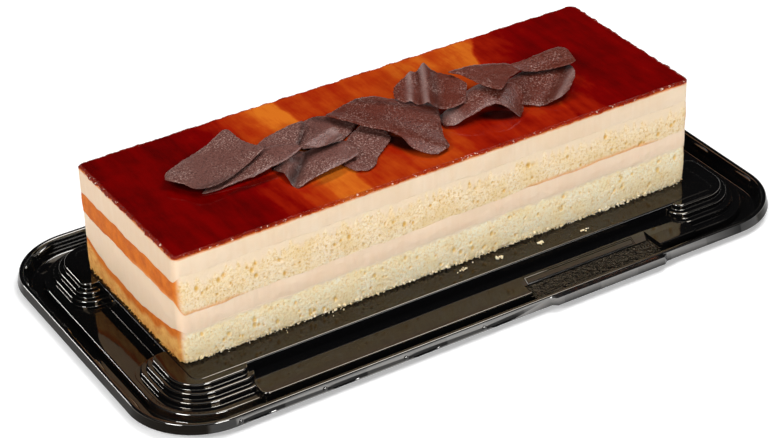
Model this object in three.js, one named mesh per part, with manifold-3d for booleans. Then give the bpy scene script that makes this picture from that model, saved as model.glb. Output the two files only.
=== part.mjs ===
// A bar of tres leches cake on its black tray: two sponges, two creams, a caramel glaze and curled
// chocolate shards. Millimetres, +Z up, +X along the cake, -Y the cut front. The origin is the
// middle of the tray's footprint, at the surface that it stands on.
import * as THREE from 'three';
import { mergeVertices } from 'three/addons/utils/BufferGeometryUtils.js';
import Module from 'manifold-3d';

// Cake: driving dimensions
const cakeLength = 280;
const cakeWidth = 97.3;
const cakeHeight = 56.9;
const cakeCentre = [-3.6, -0.8];
const restGap = 0.3;

// Heights of the layer faces above the cake's foot, on the long cut sides and on the short ends
const lowerSpongeTop = { side: 18.6, sideRise: 2.2, end: 18.5, endSag: 7.5, inside: 17.5 };
const fillingTop = { side: 27.6, sideRise: 1.9, end: 32, endSag: 0.8, inside: 29 };
const upperSpongeTop = { side: 46, sideRise: -0.4, end: 43, endSag: 0.8, inside: 44 };
const glazeThickness = 1.5;

// Relief of the cut sides: waves of the layer faces and of their edges, and each layer's swell and crags
const faceWave = 0.6;
const edgeWave = 0.25;
const spongeSwell = 0.35;
const creamSwell = 0.15;
const glazeSwell = 0.3;
const crag = { lower: 0.55, upper: 0.4 };

// Plan radius of the cake's corners: front left, front right, back right, back left
const cornerRadiusTop = [3, 2.6, 3, 1.6];
const cornerRadiusFoot = [5.5, 5, 4.5, 2.4];
const cornerSteps = 4;
const sideSteps = 38;
const endSteps = 13;
const capInset = 10;

// Tray: driving dimensions. Plan sizes are half sizes about the tray's own centre.
const sheet = 0.8;
const trayCentreY = 1.0;
const platform = { halfX: 145, halfY: 63.5, top: 13.7, run: 1, radius: 5, bevel: 0.5, cornerSteps: 4 };
const ledge = { halfX: 163.2, halfY: 79, top: 4.7, run: 1.3, radius: 28, bevel: 0.5, cornerSteps: 9 };
const bar = { halfX: 120, halfY: 82.4, top: 8, run: 0.5, radius: 3, bevel: 0.4, cornerSteps: 3 };
const rimFoot = { halfX: 168, halfY: 84.8, radius: 28.5 };
const rimSection = [
  [-0.1, 0.4], [3.2, 8.0], [3.8, 8.5], [5.0, 8.5], [5.7, 8.0], [6.6, 3.9],
  [5.75, 3.9], [4.9, 7.6], [3.9, 7.6], [0.85, 0.4],
];
const rimSteps = 9;
const floorReach = 0.5;
const below = -1;

// Corner pedestals: terraces that widen downward, with a large radius on the tray's outer corner
const pedestal = {
  x: 135.6, y: 50.9, halfX: 17, halfY: 16.5, top: 13.5,
  steps: 3, runX: 2.8, runY: 3.4, drop: 2.9, lean: 0.06, bevel: 0.4, cornerSteps: 6, wall: 0.9,
  outerRadius: 14.5, outerGrowth: 3.2, innerRadius: 4.5, innerGrowth: 3,
};

// The dip in the front bar behind the lifting tab, and the sill that carries its floor to the rim
const recess = {
  fromX: 22.5, toX: 97.3, backY: 68.7, frontY: 92, floor: 5.3, slopeX: 1, slopeY: 4.7, headroom: 1,
};
const sill = { fromX: 24, toX: 101, backY: 80.8, frontY: 87.2, top: 5.2, hollowFrontY: 84.1 };
const tab = {
  fromX: 27, toX: 95, chamfer: 3,
  section: [[-89.4, 8.1], [-92.5, 7.6], [-93.4, 4.1], [-90.95, 4.1], [-90.1, 7.2]],
  endSection: [[-89.4, 8.1], [-90.3, 7.6], [-91.2, 4.1], [-90.75, 4.1], [-89.9, 7.2]],
};

// Chocolate shards. Each is a curved sheet: its underside stands rise above the glaze at its centre,
// with a slope and a bow (second-order coefficients) along X and Y.
const shardThickness = 1.2;
const shardRings = [0.35, 0.7, 1];
const shards = [
  {
    centre: [-77.9, -5], rise: 1.79, slope: [0.089, 0.027], bow: [0.0014, 0, -0.0023],
    outline: [[-26.8, -3.4], [-19.5, -5], [-10.2, -5], [-1.6, -6.3], [8.1, -4.8], [16.6, -4.7],
      [27.6, -0.9], [22.1, 6.7], [15.2, 11.5], [2.4, 8.5], [-12.3, 3.6], [-21.5, -0.2]],
  },
  {
    centre: [-88.9, 7.6], rise: 1.91, slope: [0.056, -0.077], bow: [0.0043, -0.0032, 0.0028],
    outline: [[-26.7, -1.8], [-23.3, 4.3], [-12.2, 11.3], [3.6, 17.1], [15.9, 23.9], [18.7, 22.7],
      [19.3, 10.4], [22.6, -5.1], [15.7, -8.9], [4.3, -14.4], [-5.7, -17.7], [-13.1, -18.7],
      [-18.6, -16.1], [-21.6, -9.1]],
  },
  {
    centre: [-29.8, 8.4], rise: 0.64, slope: [0.006, -0.001], bow: [-0.0005, 0.0004, -0.0008],
    outline: [[-16.4, 2.5], [-9.6, 11.4], [0.5, 14], [8.6, 10], [17.4, 7.2], [16.1, -2.3],
      [8.6, -8.5], [0.6, -12.9], [-7.9, -12.6], [-17.9, -8.7]],
  },
  {
    centre: [-50.4, 10.6], rise: 2.29, slope: [0.069, 0.004], bow: [-0.001, -0.0016, -0.0016],
    outline: [[-16.1, 1], [-9.5, 5.1], [-1, 7], [6.7, 8.2], [13.6, 8], [12.2, 1.8], [8.6, -2.2],
      [2.7, -8.3], [-3.9, -11.3], [-13.4, -9.4]],
  },
  {
    centre: [-52.5, -17], rise: 1.84, slope: [0.108, 0.014], bow: [0.0007, 0.0007, -0.0011],
    outline: [[-15, 8.7], [-6.3, 11.9], [2.9, 12.1], [11.9, 10.1], [21, 4.6], [21.5, -7.2],
      [10, -9.4], [-3.2, -10.3], [-13.2, -12.1], [-14.7, -8.4], [-14.7, -0.2]],
  },
  {
    centre: [-40.3, -8.6], rise: 7.36, slope: [0.139, 0.051], bow: [-0.0011, -0.0064, -0.01],
    outline: [[-10.9, 0.7], [-6.5, 2.7], [0.2, 4.1], [7.9, 4.4], [8, -0.1], [6.9, -4.6],
      [0.4, -4.6], [-5.9, -2.5]],
  },
  {
    centre: [-24.7, -18.2], rise: 1.01, slope: [0.007, 0.056], bow: [-0.0004, 0.0019, 0.0002],
    outline: [[-4.2, 10.4], [2.3, 15], [9.6, 18], [15.8, 12.1], [15.5, 1.8], [7.9, -4.3],
      [2.1, -8.6], [-2.2, -13.9], [-7.3, -16], [-13, -13.2], [-14.9, -5.7], [-11.6, 4.3]],
  },
  {
    centre: [-3.8, -7.7], rise: 4.86, slope: [-0.007, 0.033], bow: [-0.002, 0.0008, -0.0024],
    outline: [[-21.3, 24.7], [-8.5, 26.8], [-2.1, 27.3], [4.4, 23.9], [11.2, 16.2], [20.6, 10.6],
      [25.8, 0.4], [19.1, -13.5], [14.2, -23.7], [13, -31.2], [4.7, -33.8], [-0.2, -30.5],
      [-3.6, -23.8], [-4, -15.1], [-6.9, -8.4], [-13.9, 1.3], [-16.1, 7.6], [-19.9, 16.2]],
  },
  {
    centre: [41.6, -20.4], rise: 8.05, slope: [0.125, 0.134], bow: [-0.0078, 0.0073, -0.0202],
    outline: [[-24.1, 0.5], [-20.2, 9.8], [-12.7, 10.9], [-1, 16.1], [5.2, 16.5], [12.1, 7.1],
      [18, 4], [18, -3.6], [14.5, -9.5], [10.5, -13], [5.5, -8.8], [2.3, -5.6], [-3.2, -4.8],
      [-10.8, -5.2], [-20.4, -3.6]],
  },
  {
    centre: [25, 2.3], rise: 7.1, slope: [0.091, 0.03], bow: [0.0036, 0.0008, 0.0018],
    outline: [[-17.7, 5.1], [-13.1, 12.5], [-4.5, 17.2], [3.7, 18.6], [7.8, 19.3], [9.5, 12.9],
      [14.3, 2.2], [15.4, -7.5], [9.9, -15], [6.1, -19.8], [-0.1, -20], [-5.2, -16.7],
      [-8.4, -10.4], [-12.4, -5.8], [-17, -1]],
  },
  {
    centre: [50.7, -5.8], rise: 11.33, slope: [-0.004, -0.039], bow: [-0.0009, 0.0003, 0.0021],
    outline: [[-13.8, 11.8], [-5.9, 12.1], [1.8, 10.3], [9.6, 6.5], [14.3, 2.8], [15.4, -6.2],
      [7.2, -9.9], [-3.3, -19], [-7, -11.6], [-8.4, -2.6], [-9.9, 5.9]],
  },
  {
    centre: [75.9, -15.5], rise: 1.53, slope: [0.071, -0.015], bow: [0.0006, -0.0004, -0.001],
    outline: [[0.6, 17.2], [12.7, 15.1], [22.6, 8], [17, -4.8], [7.5, -13.3], [-0.3, -17],
      [-11.4, -13.9], [-17.8, -7.3], [-18.9, 2], [-12.1, 13.9]],
  },
  {
    centre: [87.7, -2.5], rise: 5.47, slope: [0.1, -0.046], bow: [0.0021, -0.0038, 0.0006],
    outline: [[-15.6, 8.1], [-7.2, 7.4], [4.7, 8.1], [12.4, 7.1], [13.7, 1.5], [10.9, -10],
      [5.6, -11.2], [-2.5, -7.8], [-8.9, -3.7], [-13.1, 0.5]],
  },
];

const wasm = await Module();
wasm.setup();

// Closed mesh from a stack of rings with equal point counts; each end closes on its own middle.
// The first strip is split the other way, so that it matches the last strip of the layer below.
function stackGeometry(rings) {
  const count = rings[0].length;
  const positions = rings.flat();
  const index = [];
  for (let level = 0; level < rings.length - 1; level++) {
    for (let i = 0; i < count; i++) {
      const a = level * count + i;
      const b = level * count + (i + 1) % count;
      if (level === 0) {
        index.push(a, b, a + count, b, b + count, a + count);
      } else {
        index.push(a, b, b + count, a, b + count, a + count);
      }
    }
  }
  const middleOf = (ring) => [0, 1, 2].map((axis) => ring.reduce((sum, p) => sum + p[axis], 0) / count);
  const foot = positions.push(middleOf(rings[0])) - 1;
  const top = positions.push(middleOf(rings[rings.length - 1])) - 1;
  const last = (rings.length - 1) * count;
  for (let i = 0; i < count; i++) {
    const next = (i + 1) % count;
    index.push(foot, next, i);
    index.push(top, last + i, last + next);
  }
  return indexedGeometry(positions, index);
}

function indexedGeometry(positions, index) {
  const geometry = new THREE.BufferGeometry();
  geometry.setAttribute('position', new THREE.Float32BufferAttribute(positions.flat(), 3));
  geometry.setIndex(index);
  return geometry;
}

// Closed band: a flat section carried round a rounded rectangle, section points as [outset, height].
function bandGeometry(base, section, steps) {
  const rings = section.map(([outset, z]) => trayRing(base, outset, z, steps));
  const count = rings[0].length;
  const index = [];
  for (let k = 0; k < rings.length; k++) {
    const near = k * count;
    const far = ((k + 1) % rings.length) * count;
    for (let i = 0; i < count; i++) {
      const j = (i + 1) % count;
      index.push(near + i, far + j, near + j, near + i, far + i, far + j);
    }
  }
  return indexedGeometry(rings.flat(), index);
}

function solidOf(geometry) {
  const bare = geometry.clone();
  bare.deleteAttribute('normal');
  bare.deleteAttribute('uv');
  const merged = mergeVertices(bare, 1e-4);
  const mesh = new wasm.Mesh({
    numProp: 3,
    vertProperties: Float32Array.from(merged.attributes.position.array),
    triVerts: Uint32Array.from(merged.index.array),
  });
  return new wasm.Manifold(mesh);
}

function geometryOf(solid) {
  const mesh = solid.getMesh();
  const geometry = new THREE.BufferGeometry();
  geometry.setAttribute('position', new THREE.Float32BufferAttribute(mesh.vertProperties, 3));
  geometry.setIndex(Array.from(mesh.triVerts));
  return geometry;
}

const joined = (solids) => solids.reduce((sum, solid) => sum.add(solid));

const quarters = [[1, 1], [-1, 1], [-1, -1], [1, -1]];

// Rounded rectangle at height z, anticlockwise from the right side; radiusAt gives each corner's radius
function roundedRing(centre, half, radiusAt, z, steps) {
  return quarters.flatMap(([signX, signY], quarter) => {
    const radius = radiusAt(signX, signY);
    return Array.from({ length: steps + 1 }, (unused, k) => {
      const angle = (quarter + k / steps) * Math.PI / 2;
      return [
        centre[0] + signX * (half[0] - radius) + radius * Math.cos(angle),
        centre[1] + signY * (half[1] - radius) + radius * Math.sin(angle),
        z,
      ];
    });
  });
}

// Ring about the tray's centre
function trayRing(base, outset, z, steps) {
  const half = [base.halfX + outset, base.halfY + outset];
  return roundedRing([0, trayCentreY], half, () => Math.max(base.radius + outset, 1), z, steps);
}

// Block about the tray's centre with sloping sides, grown outward by grow on every side
function raisedBlock(base, grow, foot, top, bevel) {
  const ringAt = (z, inset) => {
    const outset = base.run * (1 - z / base.top) + grow - inset;
    return trayRing(base, outset, z, base.cornerSteps);
  };
  return solidOf(stackGeometry([ringAt(foot, 0), ringAt(top - bevel, 0), ringAt(top, bevel)]));
}

// One terrace of a corner pedestal, a rounded block with a bevelled edge
function terraceBlock(signX, signY, step, grow, foot, lower) {
  const top = pedestal.top - pedestal.drop * step - lower;
  const bevel = lower ? 0 : pedestal.bevel;
  const ringAt = (z, extra) => {
    const outset = grow + extra;
    const half = [
      pedestal.halfX + pedestal.runX * step + outset,
      pedestal.halfY + pedestal.runY * step + outset,
    ];
    const radiusAt = (x, y) => outset + (x === signX && y === signY
      ? pedestal.outerRadius + pedestal.outerGrowth * step
      : pedestal.innerRadius + pedestal.innerGrowth * step);
    const centre = [signX * pedestal.x, trayCentreY + signY * pedestal.y];
    return roundedRing(centre, half, radiusAt, z, pedestal.cornerSteps);
  };
  const rings = [ringAt(foot, pedestal.lean * (top - foot)), ringAt(top - bevel, 0), ringAt(top, -bevel)];
  return solidOf(stackGeometry(rings));
}

function terraceBlocks(grow, foot, lower) {
  const blocks = [];
  for (const [signX, signY] of quarters) {
    for (let step = 0; step <= pedestal.steps; step++) {
      blocks.push(terraceBlock(signX, signY, step, grow, foot, lower));
    }
  }
  return blocks;
}

const rectangle = (fromX, toX, frontY, backY, z) => [
  [fromX, trayCentreY - frontY, z], [toX, trayCentreY - frontY, z],
  [toX, trayCentreY - backY, z], [fromX, trayCentreY - backY, z],
];

// What the recess takes out of the bar, wider by grow, with its floor lowered by lower
function recessBlock(grow, lower) {
  const ringAt = (z, slope) => rectangle(
    recess.fromX - grow + slope * recess.slopeX, recess.toX + grow - slope * recess.slopeX,
    recess.frontY, recess.backY - grow + slope * recess.slopeY, z,
  );
  const top = bar.top - lower;
  return solidOf(stackGeometry([
    ringAt(recess.floor - lower, 1), ringAt(top, 0), ringAt(top + recess.headroom, 0),
  ]));
}

function sillBlock(grow, frontY, foot, top) {
  const ringAt = (z) => rectangle(sill.fromX - grow, sill.toX + grow, frontY, sill.backY, z);
  return solidOf(stackGeometry([ringAt(foot), ringAt(top)]));
}

function tabBlock() {
  const { fromX, toX, chamfer, section, endSection } = tab;
  const ringAt = (x, shape) => shape.map(([y, z]) => [x, trayCentreY + y, z]);
  return solidOf(stackGeometry([
    ringAt(fromX, endSection), ringAt(fromX + chamfer, section),
    ringAt(toX - chamfer, section), ringAt(toX, endSection),
  ]));
}

// The tray is its outer form less an inner form one sheet smaller, open underneath.
function trayGeometry() {
  const floorRing = (z) => trayRing(rimFoot, floorReach, z, rimSteps);
  const inFloor = sheet / 2;
  const outside = joined([
    solidOf(stackGeometry([floorRing(0), floorRing(sheet)])),
    raisedBlock(ledge, 0, inFloor, ledge.top, ledge.bevel),
    raisedBlock(bar, 0, inFloor, bar.top, bar.bevel).subtract(recessBlock(0, 0)),
    sillBlock(0, sill.frontY, inFloor, sill.top),
    raisedBlock(platform, 0, inFloor, platform.top, platform.bevel),
    solidOf(bandGeometry(rimFoot, rimSection, rimSteps)),
    tabBlock(),
    ...terraceBlocks(0, inFloor, 0),
  ]);
  const inside = joined([
    raisedBlock(ledge, -sheet, below, ledge.top - sheet, 0),
    raisedBlock(bar, -sheet, below, bar.top - sheet, 0).subtract(recessBlock(sheet, sheet)),
    sillBlock(-sheet, sill.hollowFrontY, below, sill.top - sheet),
    raisedBlock(platform, -sheet, below, platform.top - sheet, 0),
    ...terraceBlocks(-pedestal.wall, below, sheet),
  ]);
  return geometryOf(outside.subtract(inside));
}

// Repeatable unevenness between -1 and 1: waves of unrelated length along a coordinate
const waves = [
  { height: 0.5, rate: 0.37, shift: 2.1 },
  { height: 0.3, rate: 0.83, shift: 5.3 },
  { height: 0.2, rate: 1.71, shift: 7.7 },
];

function uneven(t, seed) {
  return waves.reduce((sum, w) => sum + w.height * Math.sin(t * w.rate + seed * w.shift), 0);
}

// Points round the cake's plan: position along the side, and the outward direction
function planPoint(index, radii) {
  const halfX = cakeLength / 2;
  const halfY = cakeWidth / 2;
  const sides = [
    { corner: [-halfX, -halfY], along: [1, 0], length: cakeLength, steps: sideSteps, radii: [0, 1] },
    { corner: [halfX, -halfY], along: [0, 1], length: cakeWidth, steps: endSteps, radii: [1, 2] },
    { corner: [halfX, halfY], along: [-1, 0], length: cakeLength, steps: sideSteps, radii: [2, 3] },
    { corner: [-halfX, halfY], along: [0, -1], length: cakeWidth, steps: endSteps, radii: [3, 0] },
  ];
  let rest = index;
  for (const side of sides) {
    const perSide = side.steps + cornerSteps;
    if (rest >= perSide) {
      rest -= perSide;
      continue;
    }
    const [ax, ay] = side.along;
    const start = radii[side.radii[0]];
    const end = radii[side.radii[1]];
    const straight = side.length - start - end;
    const reach = start + straight * Math.min(rest / side.steps, 1);
    const onSide = [side.corner[0] + ax * reach, side.corner[1] + ay * reach];
    if (rest <= side.steps) {
      return { x: onSide[0], y: onSide[1], nx: ay, ny: -ax };
    }
    const turn = (rest - side.steps) / cornerSteps * Math.PI / 2;
    const pivot = [onSide[0] - ay * end, onSide[1] + ax * end];
    const nx = ay * Math.cos(turn) + ax * Math.sin(turn);
    const ny = -ax * Math.cos(turn) + ay * Math.sin(turn);
    return { x: pivot[0] + nx * end, y: pivot[1] + ny * end, nx, ny };
  }
  return null;
}

const planCount = 2 * (sideSteps + endSteps + 2 * cornerSteps);

function plan(height) {
  const share = THREE.MathUtils.clamp(height / cakeHeight, 0, 1);
  const radii = cornerRadiusTop.map(
    (top, k) => THREE.MathUtils.lerp(cornerRadiusFoot[k], top, Math.sqrt(share)),
  );
  return Array.from({ length: planCount }, (unused, i) => planPoint(i, radii));
}

// Height of a layer face at a point of the plan, from its heights on the sides and on the ends
function faceHeight(face, point) {
  const u = point.x / (cakeLength / 2);
  const v = point.y / (cakeWidth / 2);
  const wave = faceWave * uneven(point.x * 0.35 + point.y * 0.5, face.inside);
  const onSide = face.side + face.sideRise * u;
  const onEnd = face.end - face.endSag * (1 - v * v);
  const endShare = point.nx * point.nx;
  return onSide * (1 - endShare) + onEnd * endShare + wave;
}

// Horizontal unevenness of the faces between the layers, the same for both layers that meet there
const faceRelief = (point, seed) => edgeWave * uneven(point.x * 0.9 + point.y * 1.3, seed);

function capRing(points, heightAt) {
  const scaleX = 1 - capInset / (cakeLength / 2);
  const scaleY = 1 - capInset / (cakeWidth / 2);
  return points.map((p) => [p.x * scaleX, p.y * scaleY, heightAt(p)]);
}

// A layer between a lower and an upper face. bulge gives each inner row's outset.
function layerGeometry({ lower, upper, rows, bulge }) {
  const lowPlan = plan(lower.inside);
  const highPlan = plan(upper.inside);
  const lowZ = (p) => (lower.flat ? lower.inside : faceHeight(lower, p)) + restGap / 2;
  const highZ = (p) => (upper.flat ? upper.inside : faceHeight(upper, p)) - restGap / 2;
  const outsetPoint = (p, outset, z) => [p.x + p.nx * outset, p.y + p.ny * outset, z];
  const footOutset = (p) => (lower.trim ?? 0) + faceRelief(p, lower.inside);
  const topOutset = (p) => (upper.trim ?? 0) + faceRelief(p, upper.inside);
  const rings = [capRing(lowPlan, () => lower.inside + restGap / 2)];
  rings.push(lowPlan.map((p) => outsetPoint(p, footOutset(p), lowZ(p))));
  for (let row = 1; row <= rows; row++) {
    const share = row / (rows + 1);
    rings.push(lowPlan.map((p, i) => {
      const q = highPlan[i];
      const z = THREE.MathUtils.lerp(lowZ(p), highZ(q), share);
      const mid = { x: (p.x + q.x) / 2, y: (p.y + q.y) / 2, nx: p.nx, ny: p.ny };
      return outsetPoint(mid, bulge(mid, share, row), z);
    }));
  }
  rings.push(highPlan.map((p) => outsetPoint(p, topOutset(p), highZ(p))));
  rings.push(capRing(highPlan, () => upper.inside - restGap / 2));
  return stackGeometry(rings);
}

// Sponge sides swell a little and are rough; the lower sponge crumbles more than the upper one.
const spongeBulge = (depth) => (p, share, row) => spongeSwell * Math.sin(Math.PI * share)
  + depth * uneven(p.x * 1.9 + p.y * 2.3 + row * 3.1, row);
const creamBulge = (p, share) => creamSwell * Math.sin(Math.PI * share);
const glazeBulge = () => glazeSwell;

const cakeFoot = { inside: 0, flat: true, trim: -0.7 };
const creamTopFace = { inside: cakeHeight - glazeThickness, flat: true, trim: 0 };
const glazeTopFace = { inside: cakeHeight, flat: true, trim: -0.9 };

function materialOf(color, roughness) {
  return new THREE.MeshStandardMaterial({ color, roughness, metalness: 0 });
}

function meshOf(name, geometry, material) {
  const mesh = new THREE.Mesh(geometry, material);
  mesh.name = name;
  return mesh;
}

// A shard: rings shrunk towards its middle, lifted on the curved sheet, closed round the edge
function shardGeometry(shard) {
  const { rise, slope, bow, outline } = shard;
  const height = (x, y) => rise + slope[0] * x + slope[1] * y
    + bow[0] * x * x + bow[1] * x * y + bow[2] * y * y;
  const clockwise = THREE.ShapeUtils.isClockWise(outline.map(([x, y]) => new THREE.Vector2(x, y)));
  const points = clockwise ? outline.slice().reverse() : outline;
  const ring = (share, lift) => points.map(
    ([x, y]) => [x * share, y * share, height(x * share, y * share) + lift],
  );
  const under = shardRings.map((share) => ring(share, 0));
  const over = shardRings.map((share) => ring(share, shardThickness)).reverse();
  return stackGeometry([...under, ...over]);
}

const part = new THREE.Group();
part.add(meshOf('tray', trayGeometry(), materialOf(0x0b0b0c, 0.12)));

const cake = new THREE.Group();
cake.position.set(cakeCentre[0], cakeCentre[1], platform.top + restGap / 2);
const sponge = materialOf(0xe6cf9a, 0.9);
const cream = materialOf(0xefd9b6, 0.45);
const layers = [
  ['sponge_lower', { lower: cakeFoot, upper: lowerSpongeTop, rows: 3, bulge: spongeBulge(crag.lower) },
    sponge],
  ['cream_filling', { lower: lowerSpongeTop, upper: fillingTop, rows: 1, bulge: creamBulge }, cream],
  ['sponge_upper', { lower: fillingTop, upper: upperSpongeTop, rows: 3, bulge: spongeBulge(crag.upper) },
    sponge],
  ['cream_top', { lower: upperSpongeTop, upper: creamTopFace, rows: 1, bulge: creamBulge }, cream],
  ['caramel_glaze', { lower: creamTopFace, upper: glazeTopFace, rows: 1, bulge: glazeBulge },
    materialOf(0x6e1a08, 0.08)],
];
for (const [name, shape, material] of layers) {
  cake.add(meshOf(name, layerGeometry(shape), material));
}

const chocolate = materialOf(0x4a2f2a, 0.55);
shards.forEach((shard, k) => {
  const number = String(k + 1).padStart(2, '0');
  const mesh = meshOf(`chocolate_shard_${number}`, shardGeometry(shard), chocolate);
  mesh.position.set(shard.centre[0], shard.centre[1], cakeHeight + restGap / 2);
  cake.add(mesh);
});
part.add(cake);

export default part;
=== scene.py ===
import math
import random

import bmesh
import bpy
import numpy as np
from mathutils import Matrix, Vector, noise


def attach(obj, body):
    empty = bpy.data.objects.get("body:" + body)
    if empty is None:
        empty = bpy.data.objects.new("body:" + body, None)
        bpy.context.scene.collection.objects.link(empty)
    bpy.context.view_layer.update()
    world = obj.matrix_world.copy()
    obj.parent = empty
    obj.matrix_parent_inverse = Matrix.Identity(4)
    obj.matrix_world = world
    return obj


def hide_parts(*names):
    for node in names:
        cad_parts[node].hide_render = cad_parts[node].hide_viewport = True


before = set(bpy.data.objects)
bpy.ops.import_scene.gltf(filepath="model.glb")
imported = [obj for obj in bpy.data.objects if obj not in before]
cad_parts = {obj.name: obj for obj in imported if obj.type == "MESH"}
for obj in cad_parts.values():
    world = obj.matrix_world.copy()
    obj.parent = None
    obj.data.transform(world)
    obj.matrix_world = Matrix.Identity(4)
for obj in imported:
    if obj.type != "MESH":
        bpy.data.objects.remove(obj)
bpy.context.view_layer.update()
mm = 0.001


# the camera stands where the photo was taken; lengths in mm, measured from the cake's foot
photoView = {
    "azimuth": -30.3816,
    "elevation": 32.0805,
    "roll": -2.2374,
    "distance": 1159.5,
    "aimRight": -1.708,
    "aimUp": 1.9,
    "focalPixels": 2387.5942,
    "imageWidth": 780,
    "sensorWidth": 36.0,
    "cakeFoot": (-3.6, -0.8, 14.0),
}


def makeCamera():
    azimuth = math.radians(photoView["azimuth"])
    elevation = math.radians(photoView["elevation"])
    roll = math.radians(photoView["roll"])
    back = Vector((
        math.sin(azimuth) * math.cos(elevation),
        -math.cos(azimuth) * math.cos(elevation),
        math.sin(elevation),
    ))
    level = Vector((math.cos(azimuth), math.sin(azimuth), 0))
    upright = back.cross(level)
    right = level * math.cos(roll) + upright * math.sin(roll)
    up = upright * math.cos(roll) - level * math.sin(roll)
    place = back * photoView["distance"] + right * photoView["aimRight"] + up * photoView["aimUp"]
    place = (place + Vector(photoView["cakeFoot"])) * mm
    data = bpy.data.cameras.new("camera")
    data.sensor_width = photoView["sensorWidth"]
    data.lens = photoView["focalPixels"] * photoView["sensorWidth"] / photoView["imageWidth"]
    camera = bpy.data.objects.new("camera", data)
    bpy.context.scene.collection.objects.link(camera)
    turn = Matrix((right, up, back)).transposed().to_4x4()
    camera.matrix_world = Matrix.Translation(place) @ turn
    bpy.context.scene.camera = camera


makeCamera()
print("camera placed")


# small tools that every piece uses
def linear(red, green, blue):
    def channel(value):
        share = value / 255
        return share / 12.92 if share <= 0.04045 else ((share + 0.055) / 1.055) ** 2.4
    return (channel(red), channel(green), channel(blue), 1.0)


def smoothStep(low, high, value):
    share = np.clip((np.asarray(value, float) - low) / (high - low), 0, 1)
    return share * share * (3 - 2 * share)


def noiseAt(points, scale, seed=0.0):
    shift = Vector((seed * 13.7, seed * 7.3, seed * 3.1))
    return np.array([noise.noise(Vector(p) * scale + shift) for p in points])


def fractalAt(points, scale, octaves=4, seed=0.0):
    shift = Vector((seed * 13.7, seed * 7.3, seed * 3.1))
    return np.array([noise.fractal(Vector(p) * scale + shift, 0.7, 2.1, octaves) for p in points])


def meshObject(name, vertices, faces):
    data = bpy.data.meshes.new(name)
    data.from_pydata([tuple(v) for v in np.asarray(vertices) * mm], [], faces)
    data.update()
    made = bpy.data.objects.new(name, data)
    bpy.context.scene.collection.objects.link(made)
    return made


def stackFaces(ringCount, perRing):
    # quads between stacked rings, and a cap at each end
    faces = []
    for level in range(ringCount - 1):
        low = level * perRing
        for i in range(perRing):
            j = (i + 1) % perRing
            faces.append((low + i, low + j, low + j + perRing, low + i + perRing))
    last = (ringCount - 1) * perRing
    faces.append(tuple(reversed(range(perRing))))
    faces.append(tuple(range(last, last + perRing)))
    return faces


def bakeModifiers(thing):
    graph = bpy.context.evaluated_depsgraph_get()
    result = bpy.data.meshes.new_from_object(thing.evaluated_get(graph))
    thing.modifiers.clear()
    thing.data = result


def addAttribute(thing, name, values):
    layer = thing.data.attributes.new(name, "FLOAT", "POINT")
    layer.data.foreach_set("value", np.asarray(values, np.float32))


def smoothShaded(thing, angle):
    thing.data.shade_smooth()
    thing.data.set_sharp_from_angle(angle=math.radians(angle))


def finishPiece(thing, material, slotName, *nodeNames):
    thing.data.materials.clear()
    thing.data.materials.append(material)
    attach(thing, "root")
    if nodeNames:
        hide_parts(*nodeNames)


# node graphs are built with two short calls: one makes a node, one reads its output
class Graph:
    def __init__(self, name):
        self.material = bpy.data.materials.new(name)
        self.material.use_nodes = True
        self.tree = self.material.node_tree
        self.shader = self.tree.nodes["Principled BSDF"]
        self.place = self.add("ShaderNodeTexCoord").outputs["Object"]

    def add(self, kind, inputs=None, **settings):
        made = self.tree.nodes.new(kind)
        for key, value in settings.items():
            setattr(made, key, value)
        for key, value in (inputs or {}).items():
            self.feed(made.inputs[key], value)
        return made

    def feed(self, socket, value):
        if isinstance(value, bpy.types.NodeSocket):
            self.tree.links.new(value, socket)
        else:
            socket.default_value = value

    def set(self, **values):
        for key, value in values.items():
            self.feed(self.shader.inputs[key.replace("_", " ")], value)

    def noise(self, scale, detail=2.0, roughness=0.5, vector=None):
        made = self.add("ShaderNodeTexNoise", {
            "Vector": vector or self.place, "Scale": scale, "Detail": detail, "Roughness": roughness,
        })
        return made.outputs["Fac"]

    def math(self, operation, first, second=0.0):
        return self.add("ShaderNodeMath", {0: first, 1: second}, operation=operation).outputs[0]

    def ramp(self, value, low, high, toLow=0.0, toHigh=1.0, kind="SMOOTHSTEP"):
        made = self.add("ShaderNodeMapRange", {
            "Value": value, "From Min": low, "From Max": high, "To Min": toLow, "To Max": toHigh,
        }, interpolation_type=kind)
        return made.outputs["Result"]

    def colorRamp(self, value, stops):
        made = self.add("ShaderNodeValToRGB", {"Fac": value})
        band = made.color_ramp
        band.interpolation = "LINEAR"
        for k, (at, color) in enumerate(stops):
            stop = band.elements[k] if k < 2 else band.elements.new(at)
            stop.position = at
            stop.color = color
        return made.outputs["Color"]

    def split(self, vector):
        return self.add("ShaderNodeSeparateXYZ", {0: vector}).outputs

    def mix(self, share, first, second, blend="MIX"):
        made = self.add("ShaderNodeMix", {"Factor": share}, data_type="RGBA", blend_type=blend)
        self.feed(made.inputs[6], first)
        self.feed(made.inputs[7], second)
        return made.outputs[2]

    def attribute(self, name):
        return self.add("ShaderNodeAttribute", attribute_name=name).outputs["Fac"]

    def bump(self, height, depth, strength=1.0, normal=None):
        inputs = {"Height": height, "Distance": depth, "Strength": strength}
        if normal is not None:
            inputs["Normal"] = normal
        return self.add("ShaderNodeBump", inputs).outputs["Normal"]

    def stretched(self, x, y, z):
        return self.add("ShaderNodeMapping", {"Vector": self.place, "Scale": (x, y, z)}).outputs["Vector"]


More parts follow.
